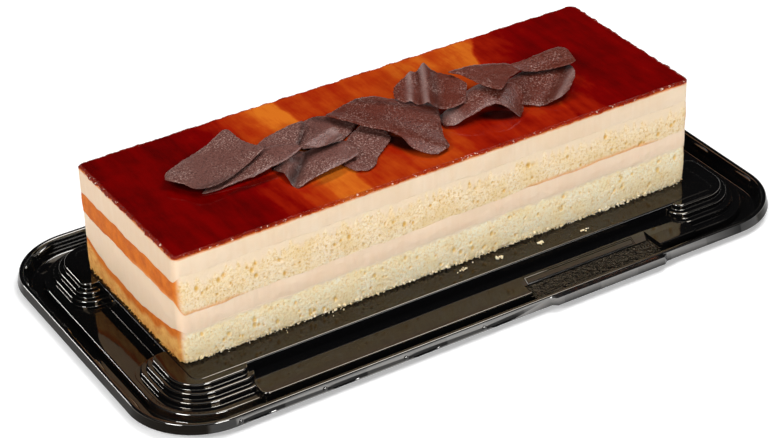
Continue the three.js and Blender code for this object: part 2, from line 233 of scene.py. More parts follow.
# black thermoformed plastic; the mirror values set how strongly each part of the tray reflects
trayFinish = {
    "color": linear(9, 9, 10),
    "roughness": 0.06,
    "sheetWave": 0.00016,
    "sheetWaveScale": 30.0,
    "scuffs": 0.05,
    "mirrorTint": (1.0, 0.80, 0.55, 1.0),
    "plainTint": (1.0, 0.98, 0.95, 1.0),
    "flatMirror": 0.5,
    "edgeMirror": 2.2,
    "slopeMirror": 0.35,
    "padMirror": 0.35,
    "dullCut": 0.4,
    "padFirst": -0.1358,
    "padSpacing": 0.0424,
    "padShare": (0.48, 0.51),
    "skirtMirror": 0.16,
    "stippleDepth": 0.0022,
    "stippleMiddle": (0.0599, -0.0806, 0.0053),
    "stippleHalf": (0.0362, 0.0080, 0.0005),
    "slopeFoot": -0.0724,
    "panelMiddle": (0.058, -0.0702),
    "panelHalf": (0.031, 0.0015),
}


def blackPlastic():
    g = Graph("blackPlastic")
    look = trayFinish
    rough = look["roughness"]
    scuff = g.ramp(g.noise(160.0, 5.0, 0.7), 0.45, 0.75, rough, rough + look["scuffs"])
    wave = g.bump(g.noise(look["sheetWaveScale"], 1.5, 0.4), look["sheetWave"])
    place = g.split(g.place)
    x, y, _ = place

    # the dip behind the tab: a rough floor, and an outline pressed into its slope
    foot = look["slopeFoot"]
    slope = g.math("MULTIPLY", g.ramp(y, foot - 0.0003, foot), g.attribute("panel"))
    stipple = g.noise(520.0, 2.0, 0.6)
    for value, middle, half in zip(place, look["stippleMiddle"], look["stippleHalf"]):
        away = g.math("ABSOLUTE", g.math("SUBTRACT", value, middle))
        stipple = g.math("MULTIPLY", stipple, g.ramp(away, half, half * 1.05 + 0.0002, 1.0, 0.0))
    apart = [g.math("SUBTRACT", g.math("ABSOLUTE", g.math("SUBTRACT", value, middle)), half)
             for value, middle, half in zip((x, y), look["panelMiddle"], look["panelHalf"])]
    line = g.ramp(g.math("ABSOLUTE", g.math("MAXIMUM", *apart)), 0.0002, 0.0005, 1.0, 0.0)
    relief = g.math("SUBTRACT", stipple, g.math("MULTIPLY", line, slope))
    g.set(Base_Color=look["color"], Roughness=scuff, Normal=g.bump(relief, look["stippleDepth"], normal=wave))

    # the skirt has brighter pads at even steps
    turn = g.math("FRACT", g.math("DIVIDE", g.math("SUBTRACT", x, look["padFirst"]), look["padSpacing"]))
    pad = g.math("MULTIPLY", g.ramp(turn, *look["padShare"]), g.attribute("skirt"))
    flat = look["flatMirror"]
    level = g.math("ADD", g.ramp(pad, 0.0, 1.0, flat, flat + look["padMirror"]),
                   g.math("MULTIPLY", g.attribute("edge"), look["edgeMirror"]))
    level = g.math("ADD", level, g.math("MULTIPLY", slope, look["slopeMirror"]))
    level = g.math("SUBTRACT", level, g.math("MULTIPLY", g.attribute("dull"), look["dullCut"]))
    level = g.math("SUBTRACT", level, g.math("MULTIPLY", g.attribute("skirt"), flat - look["skirtMirror"]))
    plain = g.math("MAXIMUM", g.math("MAXIMUM", g.attribute("skirt"), g.attribute("edge")), slope)
    g.set(Specular_Tint=g.mix(plain, look["mirrorTint"], look["plainTint"]), Specular_IOR_Level=level)
    return g.material


# the tray: heights in mm above the table, half sizes about the tray's own centre; edge and valley are
# the fillets of its blocks, run is how far a wall leans out on its way down
trayShape = {
    "centreY": 1.0,
    "sheet": 0.8,
    "platform": {"halfX": 145.0, "halfY": 63.5, "top": 13.7, "run": 1.0, "radius": 5.0},
    "ledge": {"halfX": 163.2, "halfY": 79.0, "top": 4.7, "run": 1.3, "radius": 28.0},
    "bar": {"halfX": 120.0, "halfY": 82.4, "top": 8.0, "run": 0.5, "radius": 3.0},
    "edge": 0.8,
    "valley": 0.35,
    "rim": {"halfX": 168.0, "halfY": 84.8, "radius": 28.5},
    "rimSection": [
        (-1.4, 0.4, 0), (-1.4, 0.74, 0), (-0.1, 0.8, 0.5), (3.4, 8.5, 0.7), (5.3, 8.5, 0.7),
        (6.6, 3.9, 0.15), (5.8, 3.9, 0.15), (4.8, 7.6, 0.5), (3.9, 7.6, 0.5), (0.85, 0.4, 0),
    ],
    "pedestal": {"x": 135.6, "y": 50.9, "halfX": 17.0, "halfY": 16.5, "radius": 4.5, "outerRadius": 14.5,
                 "top": 13.5, "steps": 3, "runX": 2.8, "runY": 3.4, "drop": 2.9, "lean": 0.2, "wall": 0.9},
    "recess": {"fromX": 22.5, "toX": 97.3, "backY": 68.7, "frontY": 92.0, "floor": 5.3,
               "slopeX": 1.0, "slopeY": 4.7},
    "sill": {"fromX": 24.0, "toX": 101.0, "backY": 80.8, "frontY": 87.2, "top": 5.2, "hollowFrontY": 84.1},
    "tab": {"fromX": 27.0, "toX": 95.0, "chamfer": 3.0,
            "section": [(-89.4, 8.1), (-92.5, 7.6), (-93.4, 4.1), (-90.95, 4.1), (-90.1, 7.2)],
            "endSection": [(-89.4, 8.1), (-90.3, 7.6), (-91.2, 4.1), (-90.75, 4.1), (-89.9, 7.2)]},
    "cornerSteps": 20,
    "endLugs": {"along": [-52.0, -17.0, 18.0, 53.0], "length": 15.0},
    "cornerLugs": [(-150.0, 84.9, 26.0), (-162.5, 77.5, 50.0), (-169.4, 65.0, 80.0), (150.0, 84.9, -26.0)],
    "frontLugs": {"dots": [-135.8, -93.4, -51.0, -8.7], "length": 18.5},
}
quarters = [(1, 1), (-1, 1), (-1, -1), (1, -1)]


def roundedRing(centre, halfX, halfY, radii, z, steps):
    angles = np.linspace(0, math.pi / 2, steps + 1)
    points = []
    for quarter, (signX, signY) in enumerate(quarters):
        turn = angles + quarter * math.pi / 2
        radius = radii[quarter]
        points.append(np.stack([
            centre[0] + signX * (halfX - radius) + radius * np.cos(turn),
            centre[1] + signY * (halfY - radius) + radius * np.sin(turn),
            np.full(steps + 1, float(z)),
        ], 1))
    return np.concatenate(points)


def filleted(corners, steps=4):
    # corners are (outset, height, fillet); a fillet becomes a short curve
    points = []
    for k, (outset, z, fillet) in enumerate(corners):
        here = np.array((outset, z), float)
        if fillet == 0 or k == 0 or k == len(corners) - 1:
            points.append(here)
            continue
        ends = []
        for other in (corners[k - 1], corners[k + 1]):
            step = np.array(other[:2], float) - here
            ends.append(here + step / np.linalg.norm(step) * min(fillet, np.linalg.norm(step) / 2))
        for t in np.linspace(0, 1, steps + 1):
            points.append((1 - t) ** 2 * ends[0] + 2 * t * (1 - t) * here + t * t * ends[1])
    return points


def blockFrom(name, centre, base, corners, steps, outer=None):
    # outer numbers the corner of a pedestal that has its larger radius
    ratio = base["runY"] / base["runX"] if "runY" in base else 1.0
    rings = []
    for outset, z in filleted(corners):
        radii = [max(base["radius"] + outset, 1.0)] * 4
        if outer is not None:
            radii[outer] = base["outerRadius"] + outset * ratio
        rings.append(roundedRing(centre, base["halfX"] + outset, base["halfY"] + outset * ratio,
                                 radii, z, steps))
    return meshObject(name, np.concatenate(rings), stackFaces(len(rings), len(rings[0])))


def prismFrom(name, *sections):
    return meshObject(name, np.concatenate(sections), stackFaces(len(sections), len(sections[0])))


def bandFrom(name, centre, base, section, steps):
    rings = [roundedRing(centre, base["halfX"] + o, base["halfY"] + o, [base["radius"] + o] * 4, z, steps)
             for o, z in filleted(section)]
    count, size = len(rings), len(rings[0])
    faces = []
    for k in range(count):
        near, far = k * size, (k + 1) % count * size
        for i in range(size):
            j = (i + 1) % size
            faces.append((near + i, far + i, far + j, near + j))
    return meshObject(name, np.concatenate(rings), faces)


def combine(target, others, operation):
    group = bpy.data.collections.new("operands")
    bpy.context.scene.collection.children.link(group)
    for other in others:
        bpy.context.scene.collection.objects.unlink(other)
        group.objects.link(other)
    modifier = target.modifiers.new("combine", "BOOLEAN")
    modifier.operation = operation
    modifier.operand_type = "COLLECTION"
    modifier.collection = group
    modifier.solver = "MANIFOLD"
    bakeModifiers(target)
    for other in others:
        bpy.data.objects.remove(other)
    bpy.data.collections.remove(group)


def pedestalCorners(grow, foot, lower):
    shape = trayShape["pedestal"]
    corners = []
    previous = foot
    for step in range(shape["steps"], -1, -1):
        outset = shape["runX"] * step + grow
        top = shape["top"] - shape["drop"] * step - lower
        if top <= foot:
            continue
        corners.append((outset + shape["lean"], previous, trayShape["valley"] if corners else 0))
        corners.append((outset, top, trayShape["edge"]))
        previous = top
    corners.append((grow - 3.0, previous, 0))
    return corners


def raisedBlock(name, base, foot, steps):
    # a block with a filleted top edge, whose foot spreads into the level at foot
    centre = (0.0, trayShape["centreY"])
    run = base["run"] * (1 - foot / base["top"])
    return blockFrom(name, centre, base, [
        (run + 2, trayShape["sheet"] / 2, 0),
        (run + 2, foot - 0.06, 0),
        (run, foot - 0.03, trayShape["valley"]),
        (0, base["top"], trayShape["edge"]),
        (-2.5, base["top"], 0)], steps)


def hollowBlock(name, base, steps):
    sheet = trayShape["sheet"]
    return blockFrom(name, (0.0, trayShape["centreY"]), base, [
        (base["run"] - sheet, -1.0, 0), (-sheet, base["top"] - sheet, 0)], steps)


def rectangle(fromX, toX, frontY, backY, z):
    centreY = trayShape["centreY"]
    return np.array([(fromX, centreY - frontY, z), (toX, centreY - frontY, z),
                     (toX, centreY - backY, z), (fromX, centreY - backY, z)])


def recessPrism(grow, lower):
    shape = trayShape["recess"]
    top = trayShape["bar"]["top"] - lower
    sections = []
    for z, slope in ((shape["floor"] - lower, 1), (top, 0), (top + 1, 0)):
        inset = slope * shape["slopeX"] - grow
        sections.append(rectangle(shape["fromX"] + inset, shape["toX"] - inset, shape["frontY"],
                                  shape["backY"] - grow + slope * shape["slopeY"], z))
    return prismFrom("recess", *sections)


def sillPrism(grow, frontY, foot, top):
    shape = trayShape["sill"]
    first, last = shape["fromX"] - grow, shape["toX"] + grow
    return prismFrom("sill", *[rectangle(first, last, frontY, shape["backY"], z) for z in (foot, top)])


def tabPrism():
    tab = trayShape["tab"]
    first, last, chamfer = tab["fromX"], tab["toX"], tab["chamfer"]
    return prismFrom("tab", *[
        np.array([(x, trayShape["centreY"] + y, z) for y, z in section])
        for x, section in ((first, tab["endSection"]), (first + chamfer, tab["section"]),
                           (last - chamfer, tab["section"]), (last, tab["endSection"]))])


def ellipsoid(name, middle, halves, turn=0.0):
    # long axis along X before the turn, in degrees about Z
    steps = 28
    rings = []
    for k in range(1, steps // 2):
        angle = math.pi * k / (steps // 2)
        circle = np.linspace(0, 2 * math.pi, steps, endpoint=False)
        rings.append(np.column_stack([np.full(steps, -math.cos(angle)),
                                      math.sin(angle) * np.cos(circle), math.sin(angle) * np.sin(circle)]))
    points = np.concatenate(rings) * halves
    c, s = math.cos(math.radians(turn)), math.sin(math.radians(turn))
    points = points @ np.array([[c, s, 0], [-s, c, 0], [0, 0, 1]])
    return meshObject(name, points + np.array(middle), stackFaces(len(rings), steps))


def rimLugs():
    # smooth bulges on the rim's inner wall that a lid snaps behind
    rim, lugs = trayShape["rim"], trayShape["endLugs"]
    centreY = trayShape["centreY"]
    made = []
    for y in lugs["along"]:
        for side in (-1, 1):
            made.append(ellipsoid("lug", (side * (rim["halfX"] + 3.0), centreY + y - 1.8, 5.9),
                                  (lugs["length"] / 2, 1.5, 1.9), 90))
    for x, y, turn in trayShape["cornerLugs"]:
        made.append(ellipsoid("lug", (x, centreY + y, 5.9), (6.0, 1.4, 1.8), turn))
    for x in trayShape["frontLugs"]["dots"]:
        made.append(ellipsoid("lug", (x - 1.0, centreY - rim["halfY"] - 6.1, 5.6), (1.1, 0.9, 1.1)))
    return made


def skirtPockets():
    shape = trayShape["frontLugs"]
    front = trayShape["centreY"] - trayShape["rim"]["halfY"]
    half = shape["length"] / 2
    return [ellipsoid("pocket", (x + half, front - 6.9, 5.4), (half, 1.2, 1.7)) for x in shape["dots"]]


def markTray(tray):
    # attributes for the plastic: crisp edges, the slope behind the tab, the skirt in front and elsewhere
    places = np.empty(3 * len(tray.data.vertices), np.float32)
    tray.data.vertices.foreach_get("co", places)
    x, y, z = places.reshape(-1, 3).T / mm
    onEdge = np.array([0.4 < vertex.normal.z < 0.97 for vertex in tray.data.vertices])
    for face in tray.data.polygons:
        if not 0.12 < face.normal.z < 0.99:
            onEdge[list(face.vertices)] = False
    addAttribute(tray, "edge", onEdge)
    recess, rim = trayShape["recess"], trayShape["rim"]
    middle = trayShape["centreY"]
    within = (x > recess["fromX"]) & (x < recess["toX"]) & (z > 4.0) & (z < 8.3)
    addAttribute(tray, "panel", within & (y < -65.0) & (y > -79.0))
    overX = np.maximum(np.abs(x) - rim["halfX"] + rim["radius"], 0)
    overY = np.maximum(np.abs(y - middle) - rim["halfY"] + rim["radius"], 0)
    skirt = (np.hypot(overX, overY) - rim["radius"] > 5.2) & (z < 8.45)
    frontal = skirt & (y < middle - rim["halfY"] - 3.5) & (np.abs(x) < 152)
    addAttribute(tray, "skirt", frontal)
    addAttribute(tray, "dull", skirt & ~frontal)


def makeTray(material):
    centre = (0.0, trayShape["centreY"])
    steps = trayShape["cornerSteps"]
    sheet = trayShape["sheet"]
    half = sheet / 2
    platform, ledge, bar, sill = (trayShape[key] for key in ("platform", "ledge", "bar", "sill"))
    pedestal = trayShape["pedestal"]
    corners = [(x * pedestal["x"], centre[1] + y * pedestal["y"]) for x, y in quarters]

    tray = blockFrom("tray_shell", centre, trayShape["rim"], [(0.5, 0, 0), (0.5, sheet, 0)], steps)
    frontBar = raisedBlock("bar", bar, sheet, 6)
    combine(frontBar, [recessPrism(0, 0)], "DIFFERENCE")
    solids = [
        raisedBlock("ledge", ledge, sheet, steps),
        frontBar,
        sillPrism(0, sill["frontY"], half, sill["top"]),
        raisedBlock("platform", platform, ledge["top"], 8),
        bandFrom("rim", centre, trayShape["rim"], trayShape["rimSection"], steps),
        tabPrism(),
    ]
    for outer, place in enumerate(corners):
        solids.append(blockFrom("pedestal", place, pedestal, pedestalCorners(0, half, 0), 16, outer))
    combine(tray, solids + rimLugs(), "UNION")
    combine(tray, skirtPockets(), "DIFFERENCE")

    underBar = hollowBlock("underBar", bar, 4)
    combine(underBar, [recessPrism(sheet, sheet)], "DIFFERENCE")
    hollows = [
        hollowBlock("underLedge", ledge, 10),
        underBar,
        sillPrism(-sheet, sill["hollowFrontY"], -1.0, sill["top"] - sheet),
        hollowBlock("underPlatform", platform, 5),
    ]
    for outer, place in enumerate(corners):
        rise = pedestalCorners(-pedestal["wall"], -1.0, sheet)
        hollows.append(blockFrom("underPedestal", place, pedestal, rise, 8, outer))
    combine(tray, hollows, "DIFFERENCE")
    smoothShaded(tray, 32)
    modifier = tray.modifiers.new("flat faces stay flat", "WEIGHTED_NORMAL")
    modifier.keep_sharp = True
    modifier.weight = 80
    bakeModifiers(tray)
    markTray(tray)
    finishPiece(tray, material, "tray_plastic", "tray")
    print("tray:", len(tray.data.polygons), "faces")


makeTray(blackPlastic())


# the cake: sizes in mm, heights above its foot
cakeShape = {
    "length": 280.0,
    "width": 97.3,
    "height": 56.9,
    "place": (-3.6, -0.8, 14.0),
    "topRadii": (3.0, 2.6, 3.0, 1.6),
    "footRadii": (5.5, 5.0, 4.5, 2.4),
    "sideSteps": 620,
    "endSteps": 214,
    "cornerSteps": 11,
    "skinDepth": 12.0,
}
# heights of the faces between the layers: side and end are those at the long sides and the ends,
# rise is the change towards the right, sag the dip in the middle of an end, inside the plain height within
layerFaces = {
    "foot": {"flat": 0.0},
    "lowerSpongeTop": {"side": 18.6, "rise": 2.2, "end": 18.5, "sag": 7.5, "inside": 17.5},
    "fillingTop": {"side": 27.6, "rise": 1.9, "end": 32.0, "sag": 0.8, "inside": 29.0},
    "upperSpongeTop": {"side": 46.0, "rise": -0.4, "end": 43.0, "sag": 0.8, "inside": 44.0},
    "creamTop": {"flat": 55.5},
}


def uneven(t, seed):
    return (0.5 * np.sin(t * 0.37 + seed * 2.1) + 0.3 * np.sin(t * 0.83 + seed * 5.3)
            + 0.2 * np.sin(t * 1.71 + seed * 7.7))


def cakeOutline(share):
    # one turn round the cake at a share of its height: x, y and the outward direction
    halfX, halfY = cakeShape["length"] / 2, cakeShape["width"] / 2
    radii = [low + (high - low) * math.sqrt(share)
             for low, high in zip(cakeShape["footRadii"], cakeShape["topRadii"])]
    sideSteps, endSteps = cakeShape["sideSteps"], cakeShape["endSteps"]
    sides = [((-halfX, -halfY), (1, 0), 2 * halfX, sideSteps, 0, 1),
             ((halfX, -halfY), (0, 1), 2 * halfY, endSteps, 1, 2),
             ((halfX, halfY), (-1, 0), 2 * halfX, sideSteps, 2, 3),
             ((-halfX, halfY), (0, -1), 2 * halfY, endSteps, 3, 0)]
    rows = []
    for corner, (ax, ay), length, steps, first, last in sides:
        start, end = radii[first], radii[last]
        reach = start + (length - start - end) * np.arange(steps + 1) / steps
        flat = np.stack([corner[0] + ax * reach, corner[1] + ay * reach], 1)
        rows.append(np.concatenate([flat, np.tile([ay, -ax], (steps + 1, 1))], 1))
        turn = np.arange(1, cakeShape["cornerSteps"]) / cakeShape["cornerSteps"] * math.pi / 2
        outward = np.stack([ay * np.cos(turn) + ax * np.sin(turn),
                            ay * np.sin(turn) - ax * np.cos(turn)], 1)
        pivot = flat[-1] - np.array([ay, -ax]) * end
        rows.append(np.concatenate([pivot + outward * end, outward], 1))
    return np.concatenate(rows)


def faceHeight(face, outline):
    if "flat" in face:
        return np.full(len(outline), face["flat"])
    x, y, outX = outline[:, 0], outline[:, 1], outline[:, 2]
    u, v = x / (cakeShape["length"] / 2), y / (cakeShape["width"] / 2)
    side = face["side"] + face["rise"] * u
    end = face["end"] - face["sag"] * (1 - v * v)
    share = outX * outX
    return side * (1 - share) + end * share + 0.6 * uneven(x * 0.35 + y * 0.5, face["inside"])


def layerMesh(name, lower, upper, rows, relief, footTrim=0.0):
    # rings from the lower face to the upper one; relief gives each vertex its outset and attributes
    rings, shares, outlines = [], [], []
    low, high = layerFaces[lower], layerFaces[upper]
    lowLevel, highLevel = (face.get("flat", face.get("inside")) for face in (low, high))
    for row in range(rows + 1):
        share = row / rows
        level = lowLevel + (highLevel - lowLevel) * share
        outline = cakeOutline(level / cakeShape["height"])
        z0, z1 = faceHeight(low, outline), faceHeight(high, outline)
        rings.append(np.column_stack([outline[:, :2], z0 + (z1 - z0) * share]))
        outlines.append(outline)
        shares.append(np.column_stack([np.full(len(outline), share), z0, z1]))
    points = np.concatenate(rings)
    outline = np.concatenate(outlines)
    share = np.concatenate(shares)
    outset, layers = relief(points, outline, share)
    trim = footTrim * (1 - smoothStep(0, 0.12, share[:, 0]))
    points[:, :2] += outline[:, 2:] * (outset + trim)[:, None]
    size = len(rings[0])
    inner = [ring.copy() for ring in (points[:size], points[-size:])]
    for ring, level in zip(inner, (lowLevel, highLevel)):
        ring[:, 0] *= 1 - cakeShape["skinDepth"] / (cakeShape["length"] / 2)
        ring[:, 1] *= 1 - cakeShape["skinDepth"] / (cakeShape["width"] / 2)
        ring[:, 2] = level
    points = np.concatenate([inner[0], points, inner[1]])
    made = meshObject(name, points + np.array(cakeShape["place"]), stackFaces(rows + 3, size))
    for key, values in layers.items():
        addAttribute(made, key, np.concatenate([values[:size], values, values[-size:]]))
    smoothShaded(made, 60)
    return made


# sponge: an open crumb with scattered larger pores, ragged at the foot, crusted on the two ends; the
# knife smeared cream down over the upper one, by smearReach
spongeLook = {
    "swell": 0.35,
    "crag": 0.09,
    "grain": 0.16,
    "poreDepth": 0.35,
    "poreSize": (0.35, 1.25),
    "poresPerMetre": 620,
    "footRagged": 0.9,
    "smearReach": (0.5, 9.5),
}
# the lower sponge's colours are set lighter than the upper's: painted light, making up for the shade that the
# dark tray leaves low on the cake
spongeFinish = {
    "lower": {"crumb": linear(255, 244, 217), "crumbDark": linear(250, 222, 164),
              "pore": linear(234, 192, 108)},
    "upper": {"crumb": linear(247, 228, 198), "crumbDark": linear(238, 206, 146),
              "pore": linear(214, 164, 68)},
    "crust": linear(210, 107, 18),
    "crustDark": linear(186, 84, 10),
    "golden": linear(240, 178, 90),
    "goldenDark": linear(224, 146, 62),
    "smear": linear(231, 208, 178),
    "stain": linear(234, 156, 88),
    "roughness": 0.7,
}


def roundTheCake(outline):
    # how far each point lies along the way round the cake, in mm
    step = np.linalg.norm(np.roll(outline[:, :2], -1, 0) - outline[:, :2], axis=1)
    return np.concatenate([[0], np.cumsum(step)[:-1]])


def poreField(points, share, seed):
    # larger pores, each a soft dent a little taller than wide
    draw = random.Random(seed)
    size = len(cakeOutline(1.0))
    along = np.tile(roundTheCake(cakeOutline(0.5)), len(points) // size)
    total = along.max()
    height = points[:, 2]
    field = np.zeros(len(points))
    for _ in range(int(spongeLook["poresPerMetre"] * total / 1000)):
        centre = draw.uniform(0, total)
        level = draw.uniform(0.08, 0.86)
        small, large = spongeLook["poreSize"]
        radius = small + (large - small) * draw.random() ** 3
        stretch = draw.uniform(0.9, 1.6)
        near = np.abs(along - centre) < 2.2 * radius
        z = share[near, 1] + (share[near, 2] - share[near, 1]) * level
        distance = np.hypot((along[near] - centre) / radius, (height[near] - z) / (radius * stretch))
        field[near] = np.maximum(field[near], 1 - smoothStep(0.35, 1.25, distance))
    return field


def spongeRelief(seed, crumbly, smeared, crustBand, stainRanges):
    def relief(points, outline, share):
        x, y, z = points.T
        height = z - share[:, 1]
        below = share[:, 2] - z
        endShare = outline[:, 2] ** 2
        crags = fractalAt(points, 0.22, 4, seed) * spongeLook["crag"] * crumbly
        grain = noiseAt(points, 1.1, seed + 1)
        pores = poreField(points, share, seed)
        streak = noiseAt(np.column_stack([x, y, z * 0.05]), 0.42, seed + 3)
        finer = noiseAt(np.column_stack([x, y, z * 0.1]), 1.1, seed + 4)
        low, high = spongeLook["smearReach"]
        reach = (low + high) / 2 + (high - low) * (0.95 * streak + 0.12 * finer)
        reach = np.clip(reach, 0.5, None) * smeared
        smear = (1 - smoothStep(0.35 * reach, reach + 0.6, below)) * (1 - endShare)
        wobble = 2.2 * noiseAt(points, 0.12, seed + 5)
        crust = endShare * (1 - smoothStep(crustBand - 1.5 + wobble, crustBand + 2.5 + wobble, below))
        golden = smoothStep(0.25, 0.8, endShare)
        stain = np.zeros(len(points))
        for first, last in stainRanges:
            taper = smoothStep(first, first + 9, x) * (1 - smoothStep(last - 14, last, x))
            band = 1 - smoothStep(0.15, 0.6 + 1.9 * taper + 0.8 * finer, height)
            stain = np.maximum(stain, taper * band * (y < 0))
        pores = pores * (1 - 0.85 * smear) * (1 - golden)
        foot = spongeLook["footRagged"] * (1 - smoothStep(0.0, 3.0, z)) * (grain + 0.35)
        swell = spongeLook["swell"] * np.sin(np.pi * share[:, 0])
        rough = crags + spongeLook["grain"] * grain
        outset = swell + rough * (1 - 0.5 * smear) * (1 - 0.6 * crust) + foot
        outset = np.clip(outset - pores * spongeLook["poreDepth"], -1.4, 1.2)
        return outset, {"pore": pores, "smear": smear, "crust": crust, "golden": golden, "stain": stain}
    return relief


def spongeMaterial(name):
    g = Graph(name + "Sponge")
    look = {**spongeFinish, **spongeFinish[name]}
    fine = g.noise(1000.0, 3.0, 0.78)
    middle = g.noise(560.0, 4.0, 0.7)
    warped = g.add("ShaderNodeVectorMath", {0: g.place, 1: g.add("ShaderNodeVectorMath", {
        0: g.add("ShaderNodeTexNoise", {"Vector": g.place, "Scale": 700.0, "Detail": 2.0}).outputs["Color"],
        "Scale": 0.0010}, operation="SCALE").outputs[0]}, operation="ADD").outputs[0]
    cells = g.add("ShaderNodeTexVoronoi", {"Vector": warped, "Scale": 640.0, "Randomness": 1.0})
    chosen = g.ramp(g.split(cells.outputs["Color"])[0], 0.2, 0.95, 0.05, 0.55)
    tiny = g.ramp(g.math("SUBTRACT", chosen, cells.outputs["Distance"]), 0.0, 0.25, 0.0, 0.55)
    tiny = g.math("MAXIMUM", tiny, g.ramp(g.noise(820.0, 3.0, 0.65), 0.53, 0.66, 0.0, 0.8))
    patches = g.noise(80.0, 3.0, 0.55)
    base = g.mix(g.ramp(patches, 0.35, 0.68, 0.0, 0.6), look["crumb"], look["crumbDark"])
    base = g.mix(g.ramp(fine, 0.44, 0.62, 0.0, 0.7), base, look["crumbDark"])
    smear, crust, golden = g.attribute("smear"), g.attribute("crust"), g.attribute("golden")
    covered = g.math("SUBTRACT", 1.0, g.math("MULTIPLY", smear, 0.92))
    holes = g.math("MULTIPLY", g.math("MAXIMUM", g.math("MULTIPLY", tiny, 0.7), g.attribute("pore")), covered)
    base = g.mix(g.math("MULTIPLY", holes, 0.95), base, look["pore"])
    base = g.mix(g.math("MULTIPLY", smear, 0.94), base, look["smear"])
    patchy = g.ramp(g.noise(240.0, 4.0, 0.65), 0.4, 0.66)
    base = g.mix(golden, base, g.mix(patchy, look["golden"], look["goldenDark"]))
    baked = g.ramp(g.noise(150.0, 4.0, 0.6), 0.36, 0.7)
    base = g.mix(g.math("MULTIPLY", crust, 0.94), base, g.mix(baked, look["crust"], look["crustDark"]))
    base = g.mix(g.math("MULTIPLY", g.attribute("stain"), 0.7), base, look["stain"])
    height = g.math("SUBTRACT", g.math("MULTIPLY", fine, 0.9), g.math("MULTIPLY", holes, 0.4))
    height = g.math("ADD", height, g.math("MULTIPLY", middle, 0.8))
    calm = g.ramp(g.math("MAXIMUM", smear, crust), 0.3, 1.0, 1.0, 0.35)
    g.set(Base_Color=base, Roughness=look["roughness"], Normal=g.bump(height, 0.00055, calm))
    g.set(Subsurface_Weight=0.15, Subsurface_Scale=0.002, Subsurface_Radius=(1.0, 0.65, 0.35))
    g.set(Specular_IOR_Level=g.ramp(crust, 0.0, 1.0, 0.5, 0.15))
    return g.material


# cream: smooth, dragged up and down by the knife on the cut side
creamFinish = {
    "top": {"cut": linear(230, 207, 179), "warm": linear(227, 200, 168), "end": linear(221, 190, 157)},
    "filling": {"cut": linear(241, 215, 187), "warm": linear(238, 209, 178), "end": linear(234, 205, 173)},
    "stain": linear(222, 140, 78),
    "roughness": 0.42,
}


def creamRelief(seed, stained):
    def relief(points, outline, share):
        x, y, z = points.T
        streak = noiseAt(np.column_stack([x, y, z * 0.06]), 0.4, seed)
        soft = fractalAt(points, 0.07, 3, seed + 1)
        endShare = outline[:, 2] ** 2
        outset = 0.1 * streak * (1 - 0.8 * endShare) + 0.3 * soft + 0.12 * np.sin(np.pi * share[:, 0])
        below = share[:, 2] - z
        stain = (1 - smoothStep(0.15, 0.85 + 0.5 * streak, below)) * stained
        return outset, {"stain": stain, "end": smoothStep(0.3, 0.9, endShare)}
    return relief


def creamMaterial(name, tones):
    g = Graph(name)
    look = creamFinish
    streaks = g.noise(1.0, 3.0, 0.6, vector=g.stretched(300.0, 300.0, 24.0))
    clouds = g.noise(45.0, 3.0, 0.5)
    mixed = g.math("ADD", g.math("MULTIPLY", streaks, 0.4), g.math("MULTIPLY", clouds, 0.6))
    base = g.mix(g.ramp(mixed, 0.38, 0.64), tones["cut"], tones["warm"])
    base = g.mix(g.math("MULTIPLY", g.attribute("end"), 0.85), base, tones["end"])
    base = g.mix(g.math("MULTIPLY", g.attribute("stain"), 0.8), base, look["stain"])
    rough = g.ramp(streaks, 0.3, 0.7, look["roughness"], look["roughness"] + 0.12)
    grain = g.math("ADD", g.math("MULTIPLY", streaks, 0.5), g.math("MULTIPLY", g.noise(1400.0, 2.0), 0.25))
    g.set(Base_Color=base, Roughness=rough, Normal=g.bump(grain, 0.00022))
    g.set(Subsurface_Weight=0.2, Subsurface_Scale=0.003, Subsurface_Radius=(1.0, 0.65, 0.4))
    return g.material


def makeLayers():
    lower = layerMesh("sponge_low", "foot", "lowerSpongeTop", 40,
                      spongeRelief(1, 1.2, 0.25, 3.5, []), footTrim=-0.9)
    finishPiece(lower, spongeMaterial("lower"), "sponge", "sponge_lower")
    filling = layerMesh("filling", "lowerSpongeTop", "fillingTop", 18, creamRelief(5, 0.0))
    finishPiece(filling, creamMaterial("fillingCream", creamFinish["filling"]), "cream", "cream_filling")
    stains = [(-150, -100), (40, 128)]
    upper = layerMesh("sponge_high", "fillingTop", "upperSpongeTop", 40,
                      spongeRelief(2, 1.0, 1.0, 30.0, stains))
    finishPiece(upper, spongeMaterial("upper"), "sponge", "sponge_upper")
    top = layerMesh("top_cream", "upperSpongeTop", "creamTop", 22, creamRelief(8, 1.0))
    finishPiece(top, creamMaterial("topCream", creamFinish["top"]), "cream", "cream_top")
    print("layers made")


makeLayers()


# crumbs: bits of sponge along the cake's foot and loose on the platform, all one mesh; a loose
# group is (x, y, size) on the cake's foot plane
crumbShape = {
    "along": 1900,
    "size": (0.25, 0.85),
    "reach": 0.9,
    "strewn": 45,
    "loose": [(73, -58.0, 0.7), (49, -55.5, 0.9), (26, -55.0, 1.1), (7, -53.5, 0.9), (4, -54.2, 0.6)],
    "perGroup": 6,
}


def icosahedronCorners():
    golden = (1 + math.sqrt(5)) / 2
    corners = [(0, s, t * golden) for s in (-1, 1) for t in (-1, 1)]
    return corners + [(z, x, y) for x, y, z in corners] + [(y, z, x) for x, y, z in corners]


def icosahedronFaces():
    shape = bmesh.new()
    for corner in icosahedronCorners():
        shape.verts.new(corner)
    bmesh.ops.convex_hull(shape, input=shape.verts)
    shape.verts.index_update()
    faces = [tuple(v.index for v in face.verts) for face in shape.faces]
    shape.free()
    return faces


def crumbAt(place, size, draw):
    corners = np.array(icosahedronCorners())
    stretch = np.array([draw.uniform(0.7, 1.3) for _ in range(3)])
    rough = np.array([draw.uniform(0.7, 1.25) for _ in corners])[:, None]
    return corners / np.linalg.norm(corners[0]) * rough * stretch * size + place


